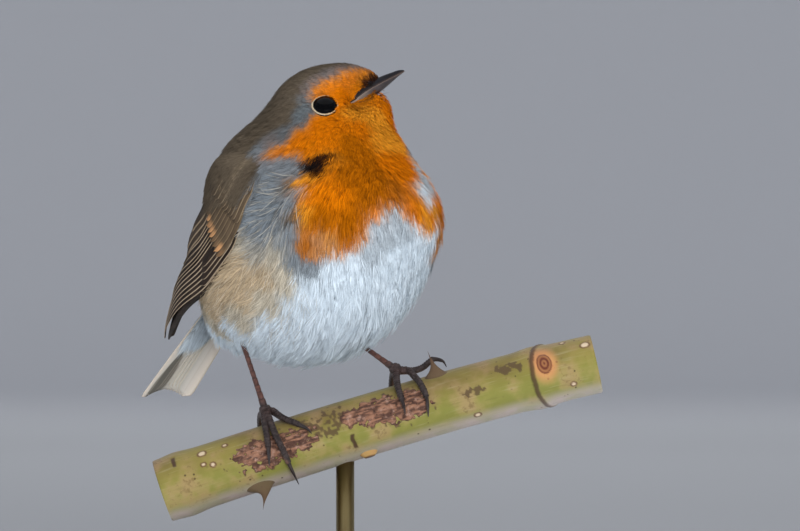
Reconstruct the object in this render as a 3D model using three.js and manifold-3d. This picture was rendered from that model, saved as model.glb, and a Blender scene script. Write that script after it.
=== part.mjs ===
// A life-size European robin (Erithacus rubecula), fluffed up against the cold, gripping a short cut
// length of rose stem that stands on a plain display stand. Millimetres, +Z up. The origin is the centre
// of the stand's underside, the stem runs along X, and the bird looks towards +X with its breast turned
// towards -Y.
import * as THREE from "three";
import { mergeVertices } from "three/addons/utils/BufferGeometryUtils.js";
import Module from "manifold-3d";

const wasm = await Module();
wasm.setup();

// ---------------------------------------------------------------- driving dimensions
const gap = 0.3; // clearance between neighbouring solids

const stand = { radius: 42, height: 8, bevel: 1.2, sides: 48 };
const rod = { radius: 2.4, x: 4, y: -2, sides: 20 };

// The stem's centre line is one quadratic curve in the plane y = stem.y.
const stem = {
  y: -2,
  start: [-44, 28.7],
  middle: [24.5, 52],
  end: [70, 62.2],
  startRadius: 8.5,
  endRadius: 7.95,
  swellings: [
    { at: 0.05, by: 0.45, width: 0.03 },
    { at: 0.865, by: 0.5, width: 0.03 },
  ],
  sides: 16,
  steps: 18,
};

// The bird's two frames: the trunk faces bodyYaw degrees round from +X towards -Y, the head is turned back
// to headYaw and tipped nose-up by headPitch.
const trunkCentre = new THREE.Vector3(-3.7, 0, 92.1);
const headCentre = new THREE.Vector3(-1.6, -3.5, 129.7);
const bodyYaw = 52;
const headYaw = 12;
const headPitch = 24;

// Rounded masses of the plumage: centre forward, left and up of its frame's centre, radii along the same,
// nose-up pitch.
const trunkMasses = {
  trunk: { at: [-6, 0, -5], radii: [27, 28, 24.5] },
  belly: { at: [4, 0, -2.6], radii: [26, 26.6, 22] },
  breast: { at: [10.4, 0, 7.5], radii: [26.2, 27.8, 20.5] },
  rear: { at: [-20, 0, -11], radii: [21, 17, 12.5], pitch: 32 },
  rump: { at: [-16, 0, 2], radii: [19, 22, 15] },
  mantle: { at: [-4, 0, 17.5], radii: [22.3, 26.5, 19] },
  neck: { at: [7.8, 0, 22.7], radii: [18.2, 19.2, 12.6] },
  nape: { at: [0.6, -3, 29.4], radii: [14.4, 10.4, 12.2] },
};
const headMasses = {
  throat: { at: [4.9, 0, -8.5], radii: [10.4, 8.3, 9.3] },
  skull: { at: [-0.8, 0, 0], radii: [11.3, 10, 10.5] },
  face: { at: [8.2, 0, 0.2], radii: [7.2, 6, 6.9] },
  cheeks: { at: [-5, 0, -2.4], radii: [5.8, 11.8, 8] },
};
const hollow = { at: [2.4, 10, 0.2], depth: 1.3, width: 4.8 }; // on both sides of the head, round the eyes
const blendWidth = 2.4; // how softly the masses run into each other
const castFrom = [0, 0, 18]; // a point inside the bird that sees its whole surface, in the trunk's frame
const bodyGrid = { columns: 40, rows: 28, reach: 80, halvings: 30 };
// Where the neck is parted from the head and from the trunk: a point and the way up through the cut.
const neckCuts = {
  top: { at: [-2, 0, -11.5], up: [-0.16, 0.08, 1] },
  foot: { at: [2, 0, 14], up: [-0.08, 0.02, 1] },
};

// The eyeball. sunk is how deep its centre lies in the plumage.
const eye = { forward: 2.4, up: -0.3, radius: 3.7, sunk: 2.3, columns: 14, rows: 9 };
// The bill in the head's middle plane, forward and up of its centre. fullness: under 1 keeps it deep
// towards the tip.
const bill = {
  base: [8.5, -1.65],
  tip: [23.2, -0.5],
  arch: 0.35,
  halfHeight: 1.75,
  halfWidth: 1.95,
  blunt: 0.22,
  fullness: 0.65,
  sides: 14,
  steps: 8,
};

// Folded right wing: centre line forward, right and up of the trunk's centre, half-widths and which way it
// faces.
const wing = {
  line: [
    [6.5, 23.5, 24.5],
    [3.5, 27.4, 17.5],
    [-3, 29.3, 7.5],
    [-12.5, 29, -1.5],
    [-25.4, 25.8, -9],
    [-39, 19.4, -17.2],
    [-51.2, 12, -23.2],
  ],
  halfWidths: [3, 9, 11.5, 11.5, 9, 5.2, 1],
  facing: [
    [0.2, 0.9, 0.4],
    [0.1, 0.95, 0.28],
    [-0.08, 0.97, 0.2],
    [-0.22, 0.95, 0.2],
    [-0.42, 0.87, 0.25],
    [-0.46, 0.82, 0.34],
    [-0.46, 0.8, 0.38],
  ],
  lift: 2.6, // how far its outside stands off the plumage under it
  edgeDrop: 0.75, // the share of the lift that is lost at its long edges
  thickness: [3, 4.6, 5, 4.6, 3.4, 2, 0.8],
  arch: 26, // radius of its cross-section towards the breast
  overBack: 1.45, // how much wider its other half is, which wraps over the back
  backArch: 17,
  across: 6,
  along: 14,
};

// The tail: its centre line in the bird's middle plane, half-widths and thickness from root to tip. crown is
// the radius of its cross-section.
const tail = {
  root: [-24, 0.5],
  tip: [-68.5, -39.5],
  halfWidths: [4.5, 6.4, 8, 9],
  thickness: [3.2, 2.8, 2, 1],
  notch: 2.5,
  crown: 30,
  across: 8,
  along: 8,
};

// Legs and toes. The foot grips the stem at a place on it, a few degrees round from its top towards -Y, its
// ball standing off the bark. A toe's joints are how far along the stem from the grip, how many degrees
// round from the top and how far off the bark. The last stretch is the claw.
const sole = { radius: 1.75, columns: 10, rows: 7 };
const tarsus = { length: 25.5, topRadius: 0.95, middleRadius: 0.75, ankleRadius: 1.15, sides: 10, steps: 4 };
const toe = { rootRadius: 1.25, tipRadius: 0.85, sides: 7, steps: 5 };
const claw = { rootRadius: 0.7, tipRadius: 0.16, from: 0.7, sides: 6, steps: 4 };
const legs = {
  right: {
    grip: { x: -13.4, round: 8, off: 2.9 },
    towards: [-0.32, 0.12, 0.94],
    toes: {
      inner: [[-0.8, 30, 1.3], [-1.3, 52, 0.2], [-1.8, 72, 0.1], [-2.8, 96, 0.1], [-3.2, 104, 0.4]],
      middle: [[0.3, 27, 1.5], [0.8, 58, 0.3], [1.5, 88, 0.2], [2, 118, 0.6], [2.6, 148, 2.2]],
      outer: [[1.7, 9, 1.3], [3.9, 30, 0.2], [6.9, 50, 0.1], [9.1, 64, 0.1], [9.9, 75, 0.4]],
      hind: [[-1.6, -14, 1.2], [-2.8, -40, 0.2], [-3.6, -68, 0.1], [-3.8, -98, 0.2], [-3, -122, 0.9]],
    },
  },
  left: {
    grip: { x: 20.9, round: 10, off: 3.5 },
    towards: [-0.74, 0.42, 0.52],
    toes: {
      inner: [[-0.6, 22, 1.6], [-1, 42, 0.3], [-0.9, 60, 0.1], [-0.9, 78, 0.2], [-1.2, 90, 0.5]],
      middle: [[2.8, 14, 1.4], [3.9, 28, 0.6], [4.9, 46, 0.1], [5.4, 74, 0.2], [4.5, 104, 0.5]],
      outer: [[3.7, 2, 0.8], [6.4, -3, 1], [8.5, -6, 2.1], [10, -8, 2.8], [12, -6, 1.9], [12.6, -4, 0.3]],
      hind: [[-1.2, -12, 1.6], [-2.6, -38, 0.3], [-3.6, -66, 0.1], [-3.8, -96, 0.2], [-3, -120, 0.9]],
    },
  },
};

// Rose thorns on the stem: place along X, degrees round from the top towards -Y, length, half-length of
// the base and lean along the stem.
const thorns = [
  { x: -19.8, round: 148, length: 6.6, base: 4.6, lean: -1.6 },
  { x: 29.9, round: 18, length: 6.8, base: 3.6, lean: -0.4 },
  { x: 48, round: 262, length: 5.2, base: 3, lean: 0.8 },
];
const thornShape = { flatness: 0.42, hollowing: [1.9, 1.5], blunt: 0.3, rootDepth: 1.6, sides: 8, steps: 6 };

// ---------------------------------------------------------------- materials
const finish = (color, roughness, metalness = 0) =>
  new THREE.MeshStandardMaterial({ color, roughness, metalness });
const plumageBrown = finish(0x7a6a50, 0.9);
const plumageOrange = finish(0xd9741a, 0.9);
const plumageWhite = finish(0xd9dde0, 0.9);
const eyeBlack = finish(0x0c0b0b, 0.1);
const billHorn = finish(0x3a3532, 0.4);
const legSkin = finish(0x5b3a30, 0.6);
const clawHorn = finish(0x2b2422, 0.4);
const stemBark = finish(0x8a8a45, 0.7);
const standWood = finish(0x4a3226, 0.5);
const standMetal = finish(0x8f8468, 0.35, 1);

// ---------------------------------------------------------------- frames
const radians = THREE.MathUtils.degToRad;

// Forward, left and up of something turned yaw degrees towards -Y and pitched nose-up.
function frameOf(yaw, pitch) {
  const level = new THREE.Vector3(Math.cos(radians(yaw)), -Math.sin(radians(yaw)), 0);
  const left = new THREE.Vector3(0, 0, 1).cross(level);
  const forward = level.clone().applyAxisAngle(left, -radians(pitch));
  return { forward, left, up: forward.clone().cross(left) };
}

const bodyFrame = frameOf(bodyYaw, 0);
const headFrame = frameOf(headYaw, headPitch);

function placed(centre, frame, [forward, left, up]) {
  return centre
    .clone()
    .addScaledVector(frame.forward, forward)
    .addScaledVector(frame.left, left)
    .addScaledVector(frame.up, up);
}

const onBody = (forward, left, up) => placed(trunkCentre, bodyFrame, [forward, left, up]);
const onHead = (forward, left, up) => placed(headCentre, headFrame, [forward, left, up]);

// ---------------------------------------------------------------- the plumage's outer surface as a field
function massesIn(list, centre, frame) {
  return Object.values(list).map(({ at, radii, pitch = 0 }) => {
    const forward = frame.forward.clone().applyAxisAngle(frame.left, -radians(pitch));
    const axes = [forward, frame.left, forward.clone().cross(frame.left)];
    return { centre: placed(centre, frame, at), axes, radii };
  });
}

const masses = [
  ...massesIn(trunkMasses, trunkCentre, bodyFrame),
  ...massesIn(headMasses, headCentre, headFrame),
];

const hollows = [-1, 1].map((side) => onHead(hollow.at[0], side * hollow.at[1], hollow.at[2]));

// Distance to each ellipsoid, run together by a soft minimum, less the hollows: under 0 inside the bird,
// over 0 outside it.
function field(point) {
  let sum = 0;
  for (const { centre, axes, radii } of masses) {
    const offset = point.clone().sub(centre);
    const local = axes.map((axis) => offset.dot(axis));
    const near = Math.hypot(...local.map((v, i) => v / radii[i]));
    const steep = Math.hypot(...local.map((v, i) => v / radii[i] ** 2)) || 1e-9;
    sum += Math.exp((-near * (near - 1)) / steep / blendWidth);
  }
  const dents = hollows.map((centre) => Math.exp(-point.distanceToSquared(centre) / hollow.width ** 2));
  return hollow.depth * (dents[0] + dents[1]) - blendWidth * Math.log(sum);
}

function slopeOf(point) {
  const step = 0.05;
  const here = field(point);
  const along = (axis) => field(point.clone().add(axis)) - here;
  return new THREE.Vector3(
    along(new THREE.Vector3(step, 0, 0)),
    along(new THREE.Vector3(0, step, 0)),
    along(new THREE.Vector3(0, 0, step)),
  ).divideScalar(step);
}

// Moves a point outwards until it stands off the plumage by level.
function raisedTo(point, level) {
  for (let turn = 0; turn < 4; turn++) {
    const short = level - field(point);
    if (short <= 0.01) break;
    const slope = slopeOf(point);
    point.addScaledVector(slope, short / slope.lengthSq());
  }
  return point;
}

// The point out from an origin inside the bird where the field reaches level, found by halving.
function castTo(origin, direction, level) {
  let [inside, outside] = [0, bodyGrid.reach];
  for (let turn = 0; turn < bodyGrid.halvings; turn++) {
    const middle = (inside + outside) / 2;
    if (field(origin.clone().addScaledVector(direction, middle)) < level) inside = middle;
    else outside = middle;
  }
  return origin.clone().addScaledVector(direction, inside);
}

// ---------------------------------------------------------------- solids
function solidOf(geometry) {
  const bare = geometry.clone();
  bare.deleteAttribute("normal");
  bare.deleteAttribute("uv");
  const merged = mergeVertices(bare, 1e-4);
  return new wasm.Manifold(
    new wasm.Mesh({
      numProp: 3,
      vertProperties: merged.attributes.position.array,
      triVerts: new Uint32Array(merged.index.array),
    }),
  );
}

function geometryOf(solid) {
  const { vertProperties, triVerts } = solid.getMesh();
  return new THREE.BufferGeometry()
    .setAttribute("position", new THREE.BufferAttribute(vertProperties, 3))
    .setIndex(new THREE.BufferAttribute(triVerts, 1));
}

// Moves every vertex of a three.js geometry by a function of its place.
function reshaped(geometry, place) {
  const position = geometry.attributes.position;
  const vertex = new THREE.Vector3();
  for (let i = 0; i < position.count; i++) {
    const moved = place(vertex.fromBufferAttribute(position, i));
    position.setXYZ(i, moved.x, moved.y, moved.z);
  }
  return geometry;
}

// The whole bird without wings, tail, bill and legs, grown by level: a sphere pushed out to the field.
function bodySolid(level) {
  const origin = onBody(...castFrom);
  const ball = new THREE.SphereGeometry(1, bodyGrid.columns, bodyGrid.rows).rotateX(Math.PI / 2);
  return solidOf(reshaped(ball, (direction) => castTo(origin, direction, level)));
}

// A closed tube along a curve from share `from` to share `to`. sizeAt gives [half-width, half-height] at each
// share, and the widths lie along widthAxis where one is given.
function tube(curve, sizeAt, { sides, steps, from = 0, to = 1, widthAxis = null }) {
  const frameCount = 200;
  const frames = curve.computeFrenetFrames(frameCount, false);
  const roller = new THREE.CylinderGeometry(1, 1, 1, sides, steps);
  return reshaped(roller, ({ x, y, z }) => {
    const share = from + (0.5 - y) * (to - from);
    const tangent = curve.getTangentAt(share);
    const across = widthAxis
      ? widthAxis.clone().addScaledVector(tangent, -widthAxis.dot(tangent)).normalize()
      : frames.normals[Math.round(share * frameCount)];
    const [width, height] = sizeAt(share);
    return curve
      .getPointAt(share)
      .addScaledVector(across, x * width)
      .addScaledVector(tangent.clone().cross(across), z * height);
  });
}

// A thick sheet: top(a, b) is its outside for a along and b across, and its inside lies thicknessAt(a)
// further along inward(a). hand is -1 where top's b runs the other way round.
function sheet(top, inward, thicknessAt, { across, along, hand }) {
  const box = new THREE.BoxGeometry(1, 1, 1, across, 1, along);
  return solidOf(
    reshaped(box, ({ x, y, z }) => {
      const a = z + 0.5;
      const b = 2 * hand * x;
      const point = top(a, b);
      return y > 0 ? point : point.addScaledVector(inward(a, b), thicknessAt(a));
    }),
  );
}

// A value eased between equally spaced stops.
function between(stops, share) {
  const place = THREE.MathUtils.clamp(share, 0, 1) * (stops.length - 1);
  const index = Math.min(Math.floor(place), stops.length - 2);
  return THREE.MathUtils.lerp(stops[index], stops[index + 1], place - index);
}

const model = new THREE.Group();

function addPart(name, solid, material) {
  const mesh = new THREE.Mesh(geometryOf(solid), material);
  mesh.name = name;
  model.add(mesh);
  return solid;
}

// ---------------------------------------------------------------- stand
function buildStand() {
  const { radius, height, bevel, sides } = stand;
  const profile = [
    [0, 0],
    [radius, 0],
    [radius, height - bevel],
    [radius - bevel, height],
    [0, height],
  ].map(([r, z]) => new THREE.Vector2(r, z));
  addPart("stand_base", solidOf(new THREE.LatheGeometry(profile, sides).rotateX(Math.PI / 2)), standWood);
  const length = stemCurve.getPointAt(shareNear(rod.x)).z - height - gap;
  const shaft = new THREE.CylinderGeometry(rod.radius, rod.radius, length, rod.sides)
    .rotateX(Math.PI / 2)
    .translate(rod.x, rod.y, height + gap + length / 2);
  addPart("stand_rod", solidOf(shaft).subtract(stemTube(gap)), standMetal);
}

// ---------------------------------------------------------------- stem
const nearSide = new THREE.Vector3(0, -1, 0);
const stemCurve = new THREE.QuadraticBezierCurve3(
  ...[stem.start, stem.middle, stem.end].map(([x, z]) => new THREE.Vector3(x, stem.y, z)),
);

function stemRadiusAt(share) {
  const plain = THREE.MathUtils.lerp(stem.startRadius, stem.endRadius, share);
  const swelling = ({ at, by, width }) => by * Math.exp(-(((share - at) / width) ** 2));
  return stem.swellings.reduce((sum, one) => sum + swelling(one), plain);
}

// A point round the stem: degrees from its top towards -Y, standing off its bark by off.
function stemPoint(share, degrees, off) {
  const tangent = stemCurve.getTangentAt(share);
  const up = nearSide.clone().cross(tangent).normalize();
  const reach = stemRadiusAt(share) + off;
  return stemCurve
    .getPointAt(share)
    .addScaledVector(up, reach * Math.cos(radians(degrees)))
    .addScaledVector(nearSide, reach * Math.sin(radians(degrees)));
}

// The share of the stem's length that lies at x.
function shareNear(x) {
  let [low, high] = [0, 1];
  for (let turn = 0; turn < bodyGrid.halvings; turn++) {
    const middle = (low + high) / 2;
    if (stemCurve.getPointAt(middle).x < x) low = middle;
    else high = middle;
  }
  return low;
}

function stemTube(growth) {
  const { sides, steps } = stem;
  const size = (share) => Array(2).fill(stemRadiusAt(share) + growth);
  return solidOf(tube(stemCurve, size, { sides, steps, widthAxis: nearSide }));
}

function buildStem() {
  const { flatness, hollowing, blunt, rootDepth, sides, steps } = thornShape;
  let solid = stemTube(0);
  for (const { x, round, length, base, lean } of thorns) {
    const at = shareNear(x);
    const widthAxis = stemCurve.getTangentAt(at);
    const tip = stemPoint(at, round, length).addScaledVector(widthAxis, lean);
    const line = new THREE.CatmullRomCurve3([
      stemPoint(at, round, -rootDepth),
      stemPoint(at, round, length / 3),
      tip,
    ]);
    const size = (share) => [
      base * (1 - share) ** hollowing[0] + blunt,
      base * flatness * (1 - share) ** hollowing[1] + blunt,
    ];
    solid = solid.add(solidOf(tube(line, size, { sides, steps, widthAxis })));
  }
  addPart("perch", solid, stemBark);
}

// ---------------------------------------------------------------- trunk, neck and head
// A wide slab between two parts of the body, at right angles to a direction.
function cutSlab(centre, direction, thickness) {
  const side = 1.5 * bodyGrid.reach;
  const slab = new THREE.BoxGeometry(side, side, thickness);
  slab.applyQuaternion(new THREE.Quaternion().setFromUnitVectors(new THREE.Vector3(0, 0, 1), direction));
  return solidOf(slab.translate(centre.x, centre.y, centre.z));
}

// A half space beyond a plane, as a deep slab.
function beyond(centre, direction) {
  const depth = 1.5 * bodyGrid.reach;
  return cutSlab(centre.clone().addScaledVector(direction, depth / 2), direction, depth);
}

function buildBody(body, grownBill) {
  const neckTop = onHead(...neckCuts.top.at);
  const neckTopWay = new THREE.Vector3(...neckCuts.top.up).normalize();
  const neckFoot = onBody(...neckCuts.foot.at);
  const neckFootWay = new THREE.Vector3(...neckCuts.foot.up).normalize();
  const aboveTop = beyond(neckTop, neckTopWay);
  const aboveFoot = beyond(neckFoot, neckFootWay);
  const grownTop = cutSlab(neckTop, neckTopWay, 2 * gap).add(aboveTop);
  const grownFoot = cutSlab(neckFoot, neckFootWay, 2 * gap).add(aboveFoot);
  let head = body.intersect(aboveTop);
  for (const side of [-1, 1]) head = head.subtract(eyeBall(side, gap));
  head = head.subtract(grownBill);
  addPart("head", largest(head), plumageOrange);
  addPart("neck", body.intersect(aboveFoot).subtract(grownTop), plumageOrange);
  addPart("trunk", body.subtract(grownFoot), plumageWhite);
}

// ---------------------------------------------------------------- eyes and bill
// An eyeball: its centre is straight out to the side from the head's middle as far as the plumage's face,
// then back in by the eye's depth.
function eyeBall(side, growth) {
  const sideways = headFrame.left.clone().multiplyScalar(side);
  const surface = castTo(onHead(eye.forward, 0, eye.up), sideways, 0);
  const centre = surface.clone().addScaledVector(slopeOf(surface).normalize(), -eye.sunk);
  const ball = new THREE.SphereGeometry(eye.radius + growth, eye.columns, eye.rows);
  return solidOf(ball.translate(centre.x, centre.y, centre.z));
}

function buildEyes() {
  addPart("eye_right", eyeBall(-1, 0), eyeBlack);
  addPart("eye_left", eyeBall(1, 0), eyeBlack);
}

function billSolid(growth) {
  const { base, tip, arch, halfHeight, halfWidth, blunt, fullness, sides, steps } = bill;
  const middle = [(base[0] + tip[0]) / 2, (base[1] + tip[1]) / 2 + arch];
  const line = new THREE.QuadraticBezierCurve3(...[base, middle, tip].map(([f, u]) => onHead(f, 0, u)));
  const taper = (share) => (1 - share) ** fullness;
  const size = (share) => [halfWidth, halfHeight].map((half) => half * taper(share) + blunt + growth);
  return solidOf(tube(line, size, { sides, steps, widthAxis: headFrame.left }));
}

// The mouth is a straight cut from the bill's root to its tip.
function buildBill() {
  const whole = billSolid(0);
  const [root, tip] = [bill.base, bill.tip].map(([f, u]) => onHead(f, 0, u));
  const way = tip.clone().sub(root).cross(headFrame.left).normalize();
  addPart("bill_upper", whole.intersect(beyond(root.clone().addScaledVector(way, gap / 2), way)), billHorn);
  addPart("bill_lower", whole.subtract(beyond(root.clone().addScaledVector(way, -gap / 2), way)), billHorn);
}

// ---------------------------------------------------------------- wings and tail
function buildWing(name, side, grownBody) {
  const line = new THREE.CatmullRomCurve3(wing.line.map(([f, r, u]) => onBody(f, side * r, u)));
  const facingAt = (a) => {
    const [f, r, u] = [0, 1, 2].map((axis) => between(wing.facing.map((way) => way[axis]), a));
    return onBody(f, side * r, u).sub(trunkCentre).normalize();
  };
  const top = (a, b) => {
    const out = facingAt(a);
    const across = out.clone().cross(line.getTangent(a)).normalize();
    const half = between(wing.halfWidths, a) * b * (b > 0 ? wing.overBack : 1);
    const point = line.getPoint(a).addScaledVector(across, half * side);
    point.addScaledVector(out, (-half * half) / (2 * (b > 0 ? wing.backArch : wing.arch)));
    return raisedTo(point, wing.lift * (1 - wing.edgeDrop * b ** 4));
  };
  const inward = (a) => facingAt(a).multiplyScalar(-1);
  const thicknessAt = (a) => between(wing.thickness, a);
  const solid = sheet(top, inward, thicknessAt, { across: wing.across, along: wing.along, hand: side });
  addPart(name, largest(solid.subtract(grownBody)), plumageBrown);
}

// The biggest of the pieces that a cut leaves.
function largest(solid) {
  return solid.decompose().reduce((best, piece) => (piece.volume() > best.volume() ? piece : best));
}

function buildTail(grownBody) {
  const root = onBody(tail.root[0], 0, tail.root[1]);
  const tip = onBody(tail.tip[0], 0, tail.tip[1]);
  const along = tip.clone().sub(root);
  const down = along.clone().normalize().cross(bodyFrame.left).multiplyScalar(-1).normalize();
  const top = (a, b) => {
    const reach = a * (1 - (tail.notch * (1 - b * b)) / along.length());
    const half = between(tail.halfWidths, a) * b;
    return root
      .clone()
      .addScaledVector(along, reach)
      .addScaledVector(bodyFrame.left, half)
      .addScaledVector(down, (half * half) / (2 * tail.crown));
  };
  const thicknessAt = (a) => between(tail.thickness, a);
  const { across, along: steps } = tail;
  const solid = sheet(top, () => down, thicknessAt, { across, along: steps, hand: 1 });
  addPart("tail", largest(solid.subtract(grownBody)), plumageBrown);
}

// ---------------------------------------------------------------- legs
function buildLeg(side, { grip, towards, toes }, grownBody) {
  const share = shareNear(grip.x);
  const foot = stemPoint(share, grip.round, grip.off);
  const way = new THREE.Vector3(...towards).normalize();
  const shinFrom = foot.clone().addScaledVector(way, sole.radius + gap);
  const shin = new THREE.LineCurve3(shinFrom, foot.clone().addScaledVector(way, tarsus.length));
  const { ankleRadius, middleRadius, topRadius } = tarsus;
  const size = (s) => Array(2).fill(between([ankleRadius, middleRadius, middleRadius, topRadius], s));
  const shank = solidOf(tube(shin, size, tarsus));
  addPart("tarsus_" + side, largest(shank.subtract(grownBody)), legSkin);

  const ball = new THREE.SphereGeometry(sole.radius, sole.columns, sole.rows);
  let paw = solidOf(ball.translate(foot.x, foot.y, foot.z));
  for (const [name, joints] of Object.entries(toes)) {
    const points = joints.map(([along, degrees, off], index) => {
      const radius = THREE.MathUtils.lerp(toe.rootRadius, claw.tipRadius, (index + 1) / joints.length);
      return stemPoint(share + along / stemCurve.getLength(), degrees, off + radius + gap);
    });
    const line = new THREE.CatmullRomCurve3([foot, ...points]);
    const from = claw.from + gap / line.getLength();
    const toeRadii = [toe.rootRadius, toe.tipRadius * 1.1, toe.tipRadius];
    const clawRadii = [claw.rootRadius, claw.rootRadius * 0.66, claw.tipRadius];
    const toeSize = (s) => Array(2).fill(between(toeRadii, s / claw.from));
    const clawSize = (s) => Array(2).fill(between(clawRadii, (s - claw.from) / (1 - claw.from)));
    paw = paw.add(solidOf(tube(line, toeSize, { sides: toe.sides, steps: toe.steps, to: claw.from })));
    const horn = solidOf(tube(line, clawSize, { sides: claw.sides, steps: claw.steps, from }));
    addPart(`claw_${side}_${name}`, largest(horn.subtract(stemTube(gap))), clawHorn);
  }
  addPart("foot_" + side, largest(paw.subtract(stemTube(gap))), legSkin);
}

// ---------------------------------------------------------------- the whole robin
const body = bodySolid(0);
const grownBody = bodySolid(gap);
buildStand();
buildStem();
buildBody(body, billSolid(gap));
buildEyes();
buildBill();
buildWing("wing_right", -1, grownBody);
buildWing("wing_left", 1, grownBody);
buildTail(grownBody);
buildLeg("right", legs.right, grownBody);
buildLeg("left", legs.left, grownBody);

export default model;
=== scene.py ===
# Looks of a life-size European robin that grips a cut rose stem on a plain display stand.
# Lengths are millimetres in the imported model's frame, and become metres as each mesh is written.
import bpy
import numpy as np
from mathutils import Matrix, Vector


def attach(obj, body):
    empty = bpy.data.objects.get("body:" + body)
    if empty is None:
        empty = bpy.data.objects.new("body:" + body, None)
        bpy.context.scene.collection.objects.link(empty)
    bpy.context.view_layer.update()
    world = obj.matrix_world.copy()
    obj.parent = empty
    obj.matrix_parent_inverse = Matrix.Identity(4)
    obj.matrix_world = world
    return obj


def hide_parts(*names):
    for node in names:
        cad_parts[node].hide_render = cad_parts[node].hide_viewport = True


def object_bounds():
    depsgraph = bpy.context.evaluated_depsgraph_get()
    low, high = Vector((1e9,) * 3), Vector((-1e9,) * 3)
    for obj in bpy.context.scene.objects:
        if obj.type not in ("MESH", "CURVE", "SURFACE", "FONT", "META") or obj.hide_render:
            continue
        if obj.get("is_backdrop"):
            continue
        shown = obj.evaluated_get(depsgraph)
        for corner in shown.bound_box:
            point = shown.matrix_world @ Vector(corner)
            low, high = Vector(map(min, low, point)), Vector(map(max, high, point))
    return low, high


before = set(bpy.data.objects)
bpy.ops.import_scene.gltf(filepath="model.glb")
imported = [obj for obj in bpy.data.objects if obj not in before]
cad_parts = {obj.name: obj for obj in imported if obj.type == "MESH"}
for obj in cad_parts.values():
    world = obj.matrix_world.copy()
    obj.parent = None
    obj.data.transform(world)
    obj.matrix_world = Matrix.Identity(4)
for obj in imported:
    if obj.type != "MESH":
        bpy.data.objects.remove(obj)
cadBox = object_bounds()
metresPerUnit = 0.001


# ---- shader helpers
class Value:
    # One socket in a material. Arithmetic on it adds Math nodes.
    def __init__(self, paint, socket):
        self.paint = paint
        self.socket = socket

    def calc(self, operation, first, second=0.0):
        return self.paint.add("ShaderNodeMath", {"operation": operation}, {0: first, 1: second})

    def __add__(self, other):
        return self.calc("ADD", self, other)

    def __radd__(self, other):
        return self.calc("ADD", other, self)

    def __sub__(self, other):
        return self.calc("SUBTRACT", self, other)

    def __rsub__(self, other):
        return self.calc("SUBTRACT", other, self)

    def __mul__(self, other):
        return self.calc("MULTIPLY", self, other)

    def __rmul__(self, other):
        return self.calc("MULTIPLY", other, self)


class Paint:
    # A material in the making: add() makes one node, sets it up and fills or links its inputs.
    def __init__(self, name, **constants):
        self.material = bpy.data.materials.new(name)
        self.material.use_nodes = True
        self.tree = self.material.node_tree
        self.shader = self.tree.nodes["Principled BSDF"]
        for socket, value in constants.items():
            self.shader.inputs[socket.replace("_", " ")].default_value = value
        self.place = self.add("ShaderNodeTexCoord", output="Object")

    def add(self, kind, settings=None, inputs=None, output=0):
        node = self.tree.nodes.new(kind)
        for key, value in (settings or {}).items():
            if key == "stops":
                self.setStops(node.color_ramp.elements, value)
            else:
                setattr(node, key, value)
        for key, item in (inputs or {}).items():
            self.fill(node.inputs[key], item)
        return Value(self, node.outputs[output])

    def setStops(self, elements, stops):
        while len(elements) < len(stops):
            elements.new(0.5)
        for element, (position, code) in zip(elements, stops):
            element.position = position
            element.color = (*tone(code), 1)

    def fill(self, socket, item):
        if isinstance(item, Value):
            self.tree.links.new(item.socket, socket)
        elif isinstance(item, tuple) and socket.type == "RGBA":
            socket.default_value = (*item[:3], 1)
        else:
            socket.default_value = item

    def mix(self, factor, first, second):
        return self.add("ShaderNodeMix", {"data_type": "RGBA"}, {0: factor, 6: first, 7: second}, 2)

    def between(self, value, low, high, first, last):
        # From one colour to another as the value passes from low to high.
        return self.mix(self.step(value, low, high), tone(first), tone(last))

    def layered(self, colour, *layers):
        # Colours laid over one after the other, each by its share.
        for share, code in layers:
            colour = self.mix(share, colour, tone(code))
        return colour

    def curve(self, kind, value):
        # A Math node of one value.
        return self.add("ShaderNodeMath", {"operation": kind}, {0: value})

    def scaled(self, colour, share):
        return self.add("ShaderNodeVectorMath", {"operation": "SCALE"}, {0: colour, "Scale": share})

    def step(self, value, low, high, first=0.0, last=1.0):
        # From first to last as the value passes from low to high, with an even bend.
        inputs = {"Value": value, "From Min": low, "From Max": high, "To Min": first, "To Max": last}
        return self.add("ShaderNodeMapRange", {"interpolation_type": "SMOOTHSTEP"}, inputs)

    def ramp(self, value, *stops):
        # Colours at places along the value, straight between them.
        return self.add("ShaderNodeValToRGB", {"stops": stops}, {0: value})

    def noise(self, scale, detail=3.0, rough=0.55, stretch=None, warp=0.0):
        at = self.place
        if stretch:
            at = self.add("ShaderNodeMapping", inputs={"Vector": at, "Scale": stretch})
        inputs = {"Vector": at, "Scale": scale, "Detail": detail, "Roughness": rough, "Distortion": warp}
        return self.add("ShaderNodeTexNoise", inputs=inputs)

    def cells(self, scale):
        return self.add("ShaderNodeTexVoronoi", inputs={"Vector": self.place, "Scale": scale})

    def channels(self, attribute):
        # The four numbers of a point colour.
        colour = self.add("ShaderNodeAttribute", {"attribute_name": attribute})
        split = self.add("ShaderNodeSeparateColor", inputs={0: colour})
        parts = [Value(self, split.socket.node.outputs[index]) for index in range(3)]
        return parts + [Value(self, colour.socket.node.outputs["Alpha"])]

    def bump(self, height, strength, depth):
        inputs = {"Height": height, "Strength": strength, "Distance": depth * metresPerUnit}
        return self.add("ShaderNodeBump", inputs=inputs)

    def wear(self, **sockets):
        for socket, item in sockets.items():
            self.fill(self.shader.inputs[socket.replace("_", " ")], item)
        return self.material


def tone(code):
    # A colour given as a hex code, as the linear values that materials want.
    parts = np.array([int(code[index:index + 2], 16) for index in (0, 2, 4)]) / 255
    return tuple(np.where(parts < 0.0405, parts / 12.92, ((parts + 0.055) / 1.055) ** 2.4).tolist())


# ---- mesh helpers
def turnsOf(count):
    return np.linspace(0, 2 * np.pi, count, endpoint=False)


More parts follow.
